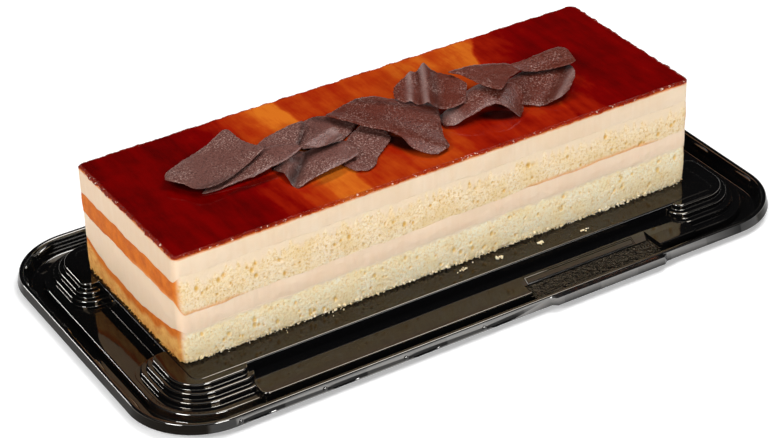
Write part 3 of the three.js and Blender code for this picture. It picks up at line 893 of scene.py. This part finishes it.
def makeCrumbs():
    draw = random.Random(77)
    shape = crumbShape
    outline = cakeOutline(0.02)
    low, high = shape["size"]
    groups, golden = [], []

    def drop(x, y, z, size, outX=0.0):
        groups.append(crumbAt(np.array([x, y, z]), size, draw))
        golden.append(outX * outX)
    for _ in range(shape["along"]):
        x, y, outX, outY = outline[draw.randrange(len(outline))]
        size = low + (high - low) * draw.random() ** 2.2
        out = draw.uniform(-0.9, shape["reach"]) - 0.3
        height = draw.uniform(0.3, 1.9) * size + draw.choice((0, 0, 0.8))
        drop(x + outX * out, y + outY * out, height, size * (1 - 0.4 * outX * outX), outX)
    for _ in range(shape["strewn"]):
        x, y, outX, outY = outline[draw.randrange(len(outline))]
        size = low + (high - low) * 0.3 * draw.random()
        out = 0.6 + 4.0 * draw.random() ** 2
        drop(x + outX * out, y + outY * out, size * 0.5, size * (1 - 0.5 * outX * outX), outX)
    for x, y, size in shape["loose"]:
        for _ in range(shape["perGroup"]):
            besideX, besideY = draw.uniform(-2.4, 2.4), draw.uniform(-0.8, 0.8)
            drop(x + besideX, y + besideY, size * 0.3, size * draw.uniform(0.4, 0.9))
    count = len(groups[0])
    shell = icosahedronFaces()
    faces = [tuple(k * count + i for i in face) for k in range(len(groups)) for face in shell]
    made = meshObject("crumbs", np.concatenate(groups) + np.array(cakeShape["place"]), faces)
    addAttribute(made, "golden", np.repeat(golden, count))
    finishPiece(made, bpy.data.materials["lowerSponge"], "sponge")
    print("crumbs:", len(groups))


makeCrumbs()


# the mirror glaze: a thin sheet with a rounded lip, marbled from dark caramel to amber
glazeShape = {
    "thickness": 1.35,
    "overhang": 0.25,
    "lip": 0.18,
    "edgeWave": 0.8,
    "ripple": 0.10,
    "shoulder": 0.62,
}
glazeFinish = {
    "tones": [(0.0, linear(80, 0, 0)), (0.3, linear(120, 0, 0)), (0.55, linear(160, 30, 5)),
              (0.8, linear(190, 70, 15)), (1.0, linear(220, 115, 30))],
    "lap": 1.5,
    "frontPool": {"from": 0, "full": 40, "to": 76, "deeper": 0.35},
    "edgeTone": linear(140, 36, 8),
    "footTone": linear(216, 106, 34),
    # pale flecks along the rounded edge: painted glints
    "edgeGlint": linear(250, 222, 200),
    "roughness": 0.09,
    "warp": 4.2,
    "mottle": 0.13,
    # the colour painted where the shards' shadows fall on the glaze
    "shade": linear(34, 5, 3),
    # painted shadows beneath the raised shards, where the glaze's colour is darkened toward shade: middle,
    # direction in degrees, half length and width, strength
    "paintedShadows": [(-6.0, -20.5, 104.0, 16.0, 7.0, 0.96), (45.5, -24.5, 152.0, 14.0, 7.0, 0.95),
               (-106.7, 1.7, 120.1, 13.0, 4.5, 0.8), (77.0, -30.0, 4.8, 16.0, 5.0, 0.4),
               (-78.0, -13.5, 5.0, 24.0, 3.5, 0.6), (-49.0, -29.0, 10.0, 14.0, 3.0, 0.4),
               (-47.0, 0.0, 160.0, 10.0, 6.0, 0.9)],
}
# the glaze's marbling, as four strokes along the cake that each lap over the one before: a stroke begins
# at its edge, and its light, 0 for dark caramel and 1 for amber, changes along its fade, in mm
caramelStrokes = [
    {"edge": -150, "fade": (-95, -68), "light": (0.15, 0.45)},
    {"edge": -68, "fade": (-68, -43), "light": (0.6, 1.0)},
    {"edge": -37, "fade": (-37, 72), "light": (0.65, 0.85)},
    {"edge": 76, "fade": (76, 110), "light": (0.45, 0.2)},
]


def caramelLight(g, along):
    lap = glazeFinish["lap"] * mm
    level = 0.0
    for stroke in caramelStrokes:
        edge = stroke["edge"] * mm
        start, end = (at * mm for at in stroke["fade"])
        light = g.ramp(along, start, end, *stroke["light"])
        covers = g.ramp(along, edge - lap, edge + lap)
        level = g.math("ADD", level, g.math("MULTIPLY", covers, g.math("SUBTRACT", light, level)))
    return level


def glazeMaterial():
    g = Graph("caramelGlaze")
    look = glazeFinish
    cakeX, cakeY, cakeZ = (value * mm for value in cakeShape["place"])
    x, y, _ = g.split(g.place)
    x, y = g.math("SUBTRACT", x, cakeX), g.math("SUBTRACT", y, cakeY)
    wide = g.math("SUBTRACT", g.noise(34.0, 3.0, 0.55), 0.5)
    close = g.math("SUBTRACT", g.noise(130.0, 3.0, 0.6), 0.5)
    drift = g.math("MULTIPLY", g.math("ADD", wide, g.math("MULTIPLY", close, 0.3)), look["warp"] * 2 * mm)
    atBack = g.ramp(g.math("ADD", y, g.math("MULTIPLY", wide, 0.02)), -0.018, 0.016)
    slant = g.math("MULTIPLY", g.math("SUBTRACT", 0.046, y), g.ramp(x, 0.04, 0.075, 0.0, 0.5))
    along = g.math("ADD", x, g.math("MULTIPLY", slant, atBack))
    level = caramelLight(g, g.math("ADD", along, drift))
    pool = look["frontPool"]
    deeper = g.math("MULTIPLY", g.ramp(x, pool["from"] * mm, pool["full"] * mm, 0.0, pool["deeper"]),
                    g.ramp(x, (pool["to"] - 4) * mm, (pool["to"] + 4) * mm, 1.0, 0.0))
    level = g.math("SUBTRACT", level, g.math("MULTIPLY", deeper, g.math("SUBTRACT", 1.0, atBack)))
    streaks = g.noise(1.0, 4.0, 0.6, vector=g.stretched(150.0, 26.0, 60.0))
    clouds = g.noise(62.0, 4.0, 0.6)
    mottle = g.math("ADD", g.math("MULTIPLY", streaks, 0.6), g.math("MULTIPLY", clouds, 0.4))
    level = g.math("ADD", level, g.ramp(mottle, 0.32, 0.68, -look["mottle"], look["mottle"]))
    base = g.colorRamp(level, look["tones"])
    # painted shadows: the glaze's colour darkens toward the shade colour under the raised shards
    for atX, atY, direction, halfLength, halfWidth, strength in look["paintedShadows"]:
        spot = g.add("ShaderNodeMapping", {
            "Vector": g.place,
            "Location": (cakeX + atX * mm, cakeY + atY * mm, cakeZ + cakeShape["height"] * mm),
            "Rotation": (0.0, 0.0, math.radians(direction)),
            "Scale": (halfLength * mm, halfWidth * mm, 0.02)}, vector_type="TEXTURE").outputs[0]
        apart = g.add("ShaderNodeVectorMath", {0: spot}, operation="LENGTH").outputs["Value"]
        base = g.mix(g.ramp(apart, 0.4, 1.0, strength, 0.0), base, look["shade"])
    base = g.mix(g.math("MULTIPLY", g.attribute("edge"), 0.6), base, look["edgeTone"])
    base = g.mix(g.attribute("foot"), base, look["footTone"])
    # painted glints: small pale flecks scattered along the glaze's edge in place of highlights
    edgeGlint = g.math("MULTIPLY", g.ramp(g.noise(520.0, 3.0, 0.6), 0.62, 0.68), g.attribute("edge"))
    base = g.mix(g.math("MULTIPLY", edgeGlint, 0.75), base, look["edgeGlint"])
    broken = g.bump(g.noise(300.0, 4.0, 0.65), 0.003, g.attribute("edge"))
    small = g.bump(g.noise(70.0, 2.0, 0.5), 0.00006, normal=broken)
    g.set(Base_Color=base, Roughness=look["roughness"], Normal=small)
    g.set(Specular_IOR_Level=g.ramp(g.attribute("edge"), 0.0, 1.0, 0.5, 0.1))
    return g.material


def makeGlaze():
    shape = glazeShape
    halfX, halfY = cakeShape["length"] / 2, cakeShape["width"] / 2
    outline = cakeOutline(1.0)
    lean = np.column_stack([outline[:, :2], np.zeros(len(outline))])
    wave = fractalAt(lean, 0.22, 4, 3.0) * shape["edgeWave"]
    lean[:, :2] += outline[:, 2:] * (shape["overhang"] + wave)[:, None]
    inner = [0.0, 0.18, 0.4, 0.7, 1.1, 1.7, 2.6, 4.0, 6.0, 9.0, 13.0, 18.0, 24.0, 31.0, 38.0, 43.0]
    top = cakeShape["height"]
    bottom = top - shape["thickness"]
    rings = []

    def ringAt(inset, z):
        ring = lean.copy()
        scaleX, scaleY = 1 - inset / halfX, 1 - inset / halfY
        ring[:, 0] *= scaleX
        ring[:, 1] *= scaleY
        ring[:, 2] = z
        return ring
    for inset in reversed(inner[5:]):
        rings.append(ringAt(inset, bottom + 0.02))
    rings += [ringAt(0.5, bottom), ringAt(0.12, bottom + 0.12), ringAt(0.0, bottom + 0.45)]
    for inset in inner:
        z = top - shape["shoulder"] * (1 - min(inset / 0.9, 1)) ** 2
        lift = shape["lip"] * math.exp(-((inset - 1.0) / 1.1) ** 2)
        rings.append(ringAt(inset, z + lift))
    points = np.concatenate(rings)
    size = len(outline)
    over = np.arange(len(points)) >= size * (len(rings) - len(inner))
    ripple = fractalAt(points * [1, 1, 0], 0.035, 3, 6.0) + 0.4 * fractalAt(points * [1, 1, 0], 0.12, 2, 9.0)
    points[:, 2] += np.where(over, ripple * shape["ripple"], 0)
    fromEdge = np.minimum(halfX - np.abs(points[:, 0]), halfY - np.abs(points[:, 1]))
    place = np.array(cakeShape["place"])
    made = meshObject("glaze_sheet", points + place, stackFaces(len(rings), size))
    addAttribute(made, "edge", 1 - smoothStep(0.3, 1.5, fromEdge))
    addAttribute(made, "foot", 1 - smoothStep(bottom + 0.4, bottom + 0.8, points[:, 2]))
    smoothShaded(made, 70)
    finishPiece(made, glazeMaterial(), "glaze", "caramel_glaze")
    print("glaze made")


makeGlaze()


# chocolate shards: centre and outline in mm on the cake; the underside is rise + slope + bow, and any
# folds: a ridge or hollow along a line, as (direction in degrees, offset, half width, height); the
# painted sheen and painted shade are paler and darker bands of colour along a line, put where light
# and shade fall, as (direction, offset, half width, strength)
shardFinish = {
    "warm": linear(101, 41, 27),
    # the left shards' lighter, greyer tone: painted sheen
    "sheenTone": linear(113, 71, 63),
    # colour of the painted glints on the grain
    "paintedGlint": linear(214, 184, 172),
    # colour of the painted sheen laid along the shards' ridges
    "paintedSheen": linear(186, 162, 156),
    # colour of the painted shade in the shards' hollows and under overlying shards
    "paintedShade": linear(30, 14, 10),
    "hollow": 0.6,
    "roughness": 0.34,
    "grain": 0.00035,
}
shardShape = {
    "thickness": 1.05,
    "thinEdge": (0.5, 2.2),
    "bevel": (0.12, 0.4),
    "edgeStep": 0.7,
    "rounding": 0.45,
    "tear": 0.42,
    "unevenness": 0.2,
    "shares": [0.1, 0.2, 0.32, 0.44, 0.56, 0.67, 0.77, 0.85, 0.91, 0.955, 0.985, 1.0],
}
shards = [
    {"centre": (-77.9, -5), "paintedShade": [(24.0, 11.0, 2.5, 0.3)],
     "folds": [(21.7, 5.8, 5.0, -0.5), (21.7, -4.0, 3.0, 0.3)],
     "rise": 1.79, "slope": (0.089, 0.027), "bow": (0.0014, 0, -0.0023),
     "outline": [(-26.8, -3.4), (-19.5, -5), (-10.2, -5), (-1.6, -6.3), (8.1, -4.8), (16.6, -4.7),
                 (27.6, -0.9), (22.1, 6.7), (15.2, 11.5), (2.4, 8.5), (-12.3, 3.6), (-21.5, -0.2)]},
    {"centre": (-88.9, 7.6), "paintedShade": [(5.3, -16.2, 2.2, 0.45)],
     "folds": [(36.7, 8.9, 8.0, 0.8), (36.7, -14.0, 5.0, -0.3)],
     "rise": 1.91, "slope": (0.056, -0.077), "bow": (0.0043, -0.0032, 0.0028),
     "outline": [(-26.7, -1.8), (-23.3, 4.3), (-12.2, 11.3), (3.6, 17.1), (15.9, 23.9), (18.7, 22.7),
                 (19.3, 10.4), (22.6, -5.1), (15.7, -8.9), (4.3, -14.4), (-5.7, -17.7), (-13.1, -18.7),
                 (-18.6, -16.1), (-21.6, -9.1)]},
    {"centre": (-29.8, 8.4), "paintedShade": [(121.9, -6.8, 2.4, 0.6)],
     "rise": 0.64, "slope": (0.006, -0.001), "bow": (-0.0005, 0.0004, -0.0008),
     "outline": [(-16.4, 2.5), (-9.6, 11.4), (0.5, 14), (8.6, 10), (17.4, 7.2), (16.1, -2.3),
                 (8.6, -8.5), (0.6, -12.9), (-7.9, -12.6), (-17.9, -8.7)]},
    {"centre": (-50.4, 10.6), "paintedShade": [(52.0, -7.0, 1.2, 0.6)],
     "rise": 2.29, "slope": (0.069, 0.004), "bow": (-0.001, -0.0016, -0.0016),
     "outline": [(-16.1, 1), (-9.5, 5.1), (-1, 7), (6.7, 8.2), (13.6, 8), (12.2, 1.8), (8.6, -2.2),
                 (2.7, -8.3), (-3.9, -11.3), (-13.4, -9.4)]},
    {"centre": (-52.5, -17), "paintedShade": [(0.0, 7.0, 3.0, 0.75), (42.0, 4.7, 2.6, 0.8)],
     "folds": [(49.5, 4.7, 2.4, -1.1), (49.5, 10.5, 3.4, 2.2), (35.0, -8.0, 4.0, 0.5)],
     "rise": 1.84, "slope": (0.108, 0.014), "bow": (0.0007, 0.0007, -0.0011),
     "outline": [(-15, 8.7), (-6.3, 11.9), (2.9, 12.1), (11.9, 10.1), (21, 4.6), (21.5, -7.2),
                 (10, -9.4), (-3.2, -10.3), (-13.2, -12.1), (-14.7, -8.4), (-14.7, -0.2)]},
    {"centre": (-40.3, -8.6), "paintedShade": [(14.0, -4.6, 1.2, 0.35)], "paintedSheen": [(100.0, -6.5, 3.0, 0.2)],
     "folds": [(14.0, 3.6, 2.4, 1.2), (14.0, -2.5, 2.0, -0.5)],
     "rise": 7.36, "slope": (0.139, 0.051), "bow": (-0.0011, -0.0064, -0.01),
     "outline": [(-10.9, 0.7), (-6.5, 2.7), (0.2, 4.1), (7.9, 4.4), (8, -0.1), (6.9, -4.6),
                 (0.4, -4.6), (-5.9, -2.5)]},
    {"centre": (-24.7, -18.2), "paintedShade": [(130.6, -13.4, 2.4, 0.6)],
     "rise": 1.01, "slope": (0.007, 0.056), "bow": (-0.0004, 0.0019, 0.0002),
     "outline": [(-4.2, 10.4), (2.3, 15), (9.6, 18), (15.8, 12.1), (15.5, 1.8), (7.9, -4.3),
                 (2.1, -8.6), (-2.2, -13.9), (-7.3, -16), (-13, -13.2), (-14.9, -5.7), (-11.6, 4.3)]},
    {"centre": (-3.8, -7.7), "paintedShade": [(118.0, 1.0, 4.0, 0.2), (129.8, -12.7, 2.0, 0.45)],
     "folds": [(103.6, -8.5, 7.0, 0.9), (123.9, 11.0, 4.0, 0.9), (118.0, 3.0, 4.0, -0.5)],
     "rise": 4.86, "slope": (-0.007, 0.033), "bow": (-0.002, 0.0008, -0.0024),
     "outline": [(-21.3, 24.7), (-8.5, 26.8), (-2.1, 27.3), (4.4, 23.9), (11.2, 16.2), (20.6, 10.6),
                 (25.8, 0.4), (19.1, -13.5), (14.2, -23.7), (13, -31.2), (4.7, -33.8), (-0.2, -30.5),
                 (-3.6, -23.8), (-4, -15.1), (-6.9, -8.4), (-13.9, 1.3), (-16.1, 7.6), (-19.9, 16.2)]},
    {"centre": (41.6, -20.4), "paintedShade": [(95.0, -9.0, 6.0, 0.35)], "paintedSheen": [(80.0, 18.0, 3.5, 0.3)],
     "folds": [(30.0, -17.0, 4.0, -2.0), (80.0, 19.0, 3.5, -0.4)],
     "rise": 8.05, "slope": (0.125, 0.134), "bow": (-0.0078, 0.0073, -0.0202),
     "outline": [(-24.1, 0.5), (-20.2, 9.8), (-12.7, 10.9), (-1, 16.1), (5.2, 16.5), (12.1, 7.1),
                 (18, 4), (18, -3.6), (14.5, -9.5), (10.5, -13), (5.5, -8.8), (2.3, -5.6), (-3.2, -4.8),
                 (-10.8, -5.2), (-20.4, -3.6)]},
    {"centre": (25, 2.3), "paintedShade": [(61.5, -1.6, 2.6, 0.45), (60.0, 6.2, 1.2, 0.4)],
     "paintedSheen": [(61.5, 3.2, 1.3, 0.4), (59.5, 10.4, 1.3, 0.4)],
     "folds": [(61.5, 2.2, 2.0, 1.7), (60.0, 6.6, 1.6, -0.7), (59.0, 10.0, 1.6, 1.2),
               (61.0, -4.5, 3.5, -0.6)],
     "rise": 7.1, "slope": (0.091, 0.03), "bow": (0.0036, 0.0008, 0.0018),
     "outline": [(-17.7, 5.1), (-13.1, 12.5), (-4.5, 17.2), (3.7, 18.6), (7.8, 19.3), (9.5, 12.9),
                 (14.3, 2.2), (15.4, -7.5), (9.9, -15), (6.1, -19.8), (-0.1, -20), (-5.2, -16.7),
                 (-8.4, -10.4), (-12.4, -5.8), (-17, -1)]},
    {"centre": (50.7, -5.8), "folds": [(160.5, -5.0, 4.0, 0.5)],
     "rise": 11.33, "slope": (-0.004, -0.039), "bow": (-0.0009, 0.0003, 0.0021),
     "outline": [(-13.8, 11.8), (-5.9, 12.1), (1.8, 10.3), (9.6, 6.5), (14.3, 2.8), (15.4, -6.2),
                 (7.2, -9.9), (-3.3, -19), (-7, -11.6), (-8.4, -2.6), (-9.9, 5.9)]},
    {"centre": (75.9, -15.5), "paintedShade": [(36.7, -7.4, 2.0, 0.3), (159.6, -13.2, 2.6, 0.75)],
     "paintedSheen": [(36.7, -12.4, 1.6, 0.3)],
     "folds": [(36.7, -13.5, 3.5, 1.6), (36.7, -6.0, 3.0, -0.7)],
     "rise": 1.53, "slope": (0.071, -0.015), "bow": (0.0006, -0.0004, -0.001),
     "outline": [(0.6, 17.2), (12.7, 15.1), (22.6, 8), (17, -4.8), (7.5, -13.3), (-0.3, -17),
                 (-11.4, -13.9), (-17.8, -7.3), (-18.9, 2), (-12.1, 13.9)]},
    {"centre": (87.7, -2.5), "folds": [(160.8, 4.0, 4.0, -0.7), (160.8, -6.0, 3.0, 0.4)],
     "rise": 5.47, "slope": (0.1, -0.046), "bow": (0.0021, -0.0038, 0.0006),
     "outline": [(-15.6, 8.1), (-7.2, 7.4), (4.7, 8.1), (12.4, 7.1), (13.7, 1.5), (10.9, -10),
                 (5.6, -11.2), (-2.5, -7.8), (-8.9, -3.7), (-13.1, 0.5)]},
]


def chocolateMaterial():
    g = Graph("chocolate")
    look = shardFinish
    grain = g.noise(1450.0, 1.5, 0.6)
    patches = g.ramp(g.noise(55.0, 3.0, 0.5), 0.38, 0.6, 0.15, 1.0)
    # painted sheen: the left shards blend toward a lighter, greyer tone
    base = g.mix(g.attribute("sheenShare"), look["warm"], look["sheenTone"])
    dark = g.ramp(grain, 0.32, 0.5, 1 - look["hollow"], 1.0)
    gray = g.add("ShaderNodeCombineXYZ", {0: dark, 1: dark, 2: dark}).outputs[0]
    base = g.mix(1.0, base, gray, "MULTIPLY")
    # painted glints: pale specks on the grain in place of sparkling highlights
    paintedGlint = g.math("MULTIPLY", g.ramp(grain, 0.54, 0.68, 0.0, 0.55), patches)
    base = g.mix(paintedGlint, base, look["paintedGlint"])
    # painted sheen: paler bands along the ridges where light catches them
    base = g.mix(g.attribute("paintedSheen"), base, look["paintedSheen"])
    # painted shade: darker bands where shadow and shading fall on the shard
    base = g.mix(g.attribute("paintedShade"), base, look["paintedShade"])
    g.set(Base_Color=base, Roughness=look["roughness"], Normal=g.bump(grain, look["grain"], 0.8))
    return g.material


def resampled(outline, step):
    # steps along the outline, its corners partly rounded
    corners = np.array(outline, float)
    area = np.sum(corners[:, 0] * np.roll(corners[:, 1], -1) - corners[:, 1] * np.roll(corners[:, 0], -1))
    if area < 0:
        corners = corners[::-1]
    points = []
    before, there, after = np.roll(corners, 1, 0), np.roll(corners, -1, 0), np.roll(corners, -2, 0)
    for p0, p1, p2, p3 in zip(before, corners, there, after):
        count = max(2, int(round(np.linalg.norm(p2 - p1) / step)))
        for t in np.arange(count) / count:
            curve = 0.5 * (2 * p1 + (p2 - p0) * t + (2 * p0 - 5 * p1 + 4 * p2 - p3) * t * t
                           + (3 * p1 - p0 - 3 * p2 + p3) * t ** 3)
            points.append(p1 + (p2 - p1) * t + shardShape["rounding"] * (curve - p1 - (p2 - p1) * t))
    points = np.array(points)
    return 0.25 * np.roll(points, 1, 0) + 0.5 * points + 0.25 * np.roll(points, -1, 0)


def shardHeight(shard, x, y):
    a, b = shard["slope"]
    xx, xy, yy = shard["bow"]
    z = shard["rise"] + a * x + b * y + xx * x * x + xy * x * y + yy * y * y
    for direction, offset, width, height in shard.get("folds", []):
        turn = math.radians(direction)
        across = -x * math.sin(turn) + y * math.cos(turn) - offset
        z = z + height * np.exp(-(across / width) ** 2)
    return z


def shardBands(bands, x, y):
    level = np.zeros(len(x))
    for direction, offset, width, strength in bands:
        turn = math.radians(direction)
        across = -x * math.sin(turn) + y * math.cos(turn) - offset
        level = np.maximum(level, strength * np.exp(-(across / width) ** 2))
    return level


def makeShard(number, shard, material):
    outline = resampled(shard["outline"], shardShape["edgeStep"])
    flat = np.column_stack([outline, np.full(len(outline), 5.0 * number)])
    outward = outline / np.linalg.norm(outline, axis=1)[:, None]
    tear = fractalAt(flat, 0.6, 4, number)
    outline = outline + outward * (tear * shardShape["tear"])[:, None]
    reach = np.linalg.norm(outline, axis=1)
    rings, places = [], []
    for side in (0, 1):
        shares = shardShape["shares"] if side == 0 else shardShape["shares"][::-1]
        for share in shares:
            x, y = outline[:, 0] * share, outline[:, 1] * share
            places.append(np.column_stack([x, y]))
            fromEdge = reach * (1 - share)
            edge, edgeReach = shardShape["thinEdge"]
            thick = shardShape["thickness"] * (edge + (1 - edge) * smoothStep(0, edgeReach, fromEdge))
            bevel, bevelReach = shardShape["bevel"]
            bevel = bevel * (1 - smoothStep(0, bevelReach, fromEdge))
            middle = shardHeight(shard, x, y) + 0.6
            flatPoints = np.column_stack([x, y, np.full(len(x), 9.0 * number)])
            middle = middle + shardShape["unevenness"] * fractalAt(flatPoints, 0.16, 3, number + 20)
            rings.append(np.column_stack([x, y, middle + (thick / 2 - bevel) * (1 if side else -1)]))
    points = np.concatenate(rings)
    origin = np.array(cakeShape["place"]) + np.array([*shard["centre"], cakeShape["height"]])
    name = f"shard_{number:02d}"
    made = meshObject(name, points + origin, stackFaces(len(rings), len(outline)))
    # share of painted sheen in the shard's tone, full on the left shards
    addAttribute(made, "sheenShare", np.full(len(points), 1 - smoothStep(-40, 0, shard["centre"][0])))
    x, y = np.concatenate(places).T
    # bands of painted sheen and painted shade
    addAttribute(made, "paintedSheen", shardBands(shard.get("paintedSheen", []), x, y))
    addAttribute(made, "paintedShade", shardBands(shard.get("paintedShade", []), x, y))
    smoothShaded(made, 50)
    finishPiece(made, material, "chocolate", f"chocolate_shard_{number:02d}")


chocolate = chocolateMaterial()
for number, shard in enumerate(shards, 1):
    makeShard(number, shard, chocolate)
print("shards made:", len(shards))


# plain pale floor and soft studio light; the surround is dark at the height that the flat glossy
# surfaces mirror, pale low down behind the floor and bright overhead
studio = {
    "floorColor": linear(247, 247, 247),
    "floorGlow": 0.28,
    "floorHalf": 6.0,
    "surround": [(0.0, 0.85), (0.03, 0.85), (0.06, 0.012), (0.74, 0.012), (0.92, 0.5)],
    "lights": [
        {"name": "overhead", "place": (0.45, -0.1, 1.38), "size": (1.0, 0.7), "power": 11.5},
        {"name": "front", "place": (-0.05, -1.6, 0.75), "size": (0.55, 0.4), "power": 11.0},
        {"name": "behind", "place": (-0.9, 1.05, 0.38), "size": (0.3, 0.2), "power": 2.5},
        {"name": "left", "place": (-1.2, -0.45, 0.95), "size": (0.45, 0.45), "power": 11.1},
    ],
}


def makeStudio():
    half = studio["floorHalf"]
    floor = meshObject("floor", np.array([(-half, -half, 0), (half, -half, 0), (half, half, 0),
                                          (-half, half, 0)]) / mm, [(0, 1, 2, 3)])
    g = Graph("paleFloor")
    g.set(Base_Color=studio["floorColor"], Roughness=0.9, Specular_IOR_Level=0.1)
    g.set(Emission_Color=(1.0, 1.0, 1.0, 1.0), Emission_Strength=studio["floorGlow"])
    floor.data.materials.append(g.material)
    world = bpy.data.worlds.new("studio")
    world.use_nodes = True
    nodes, links = world.node_tree.nodes, world.node_tree.links
    direction = nodes.new("ShaderNodeTexCoord")
    split = nodes.new("ShaderNodeSeparateXYZ")
    ramp = nodes.new("ShaderNodeValToRGB")
    links.new(direction.outputs["Generated"], split.inputs[0])
    links.new(split.outputs["Z"], ramp.inputs["Fac"])
    links.new(ramp.outputs["Color"], nodes["Background"].inputs["Color"])
    for k, (height, level) in enumerate(studio["surround"]):
        stop = ramp.color_ramp.elements[k] if k < 2 else ramp.color_ramp.elements.new(height)
        stop.position = height
        stop.color = (level, level, level, 1.0)
    bpy.context.scene.world = world
    for light in studio["lights"]:
        data = bpy.data.lights.new(light["name"], "AREA")
        data.shape = "RECTANGLE"
        data.size, data.size_y = light["size"]
        data.energy = light["power"]
        lamp = bpy.data.objects.new(light["name"], data)
        bpy.context.scene.collection.objects.link(lamp)
        lamp.location = light["place"]
        lamp.rotation_euler = (-lamp.location).to_track_quat("-Z", "Y").to_euler()
    view = bpy.context.scene.view_settings
    view.view_transform = "Standard"
    view.look = "None"
    print("studio ready")


makeStudio()
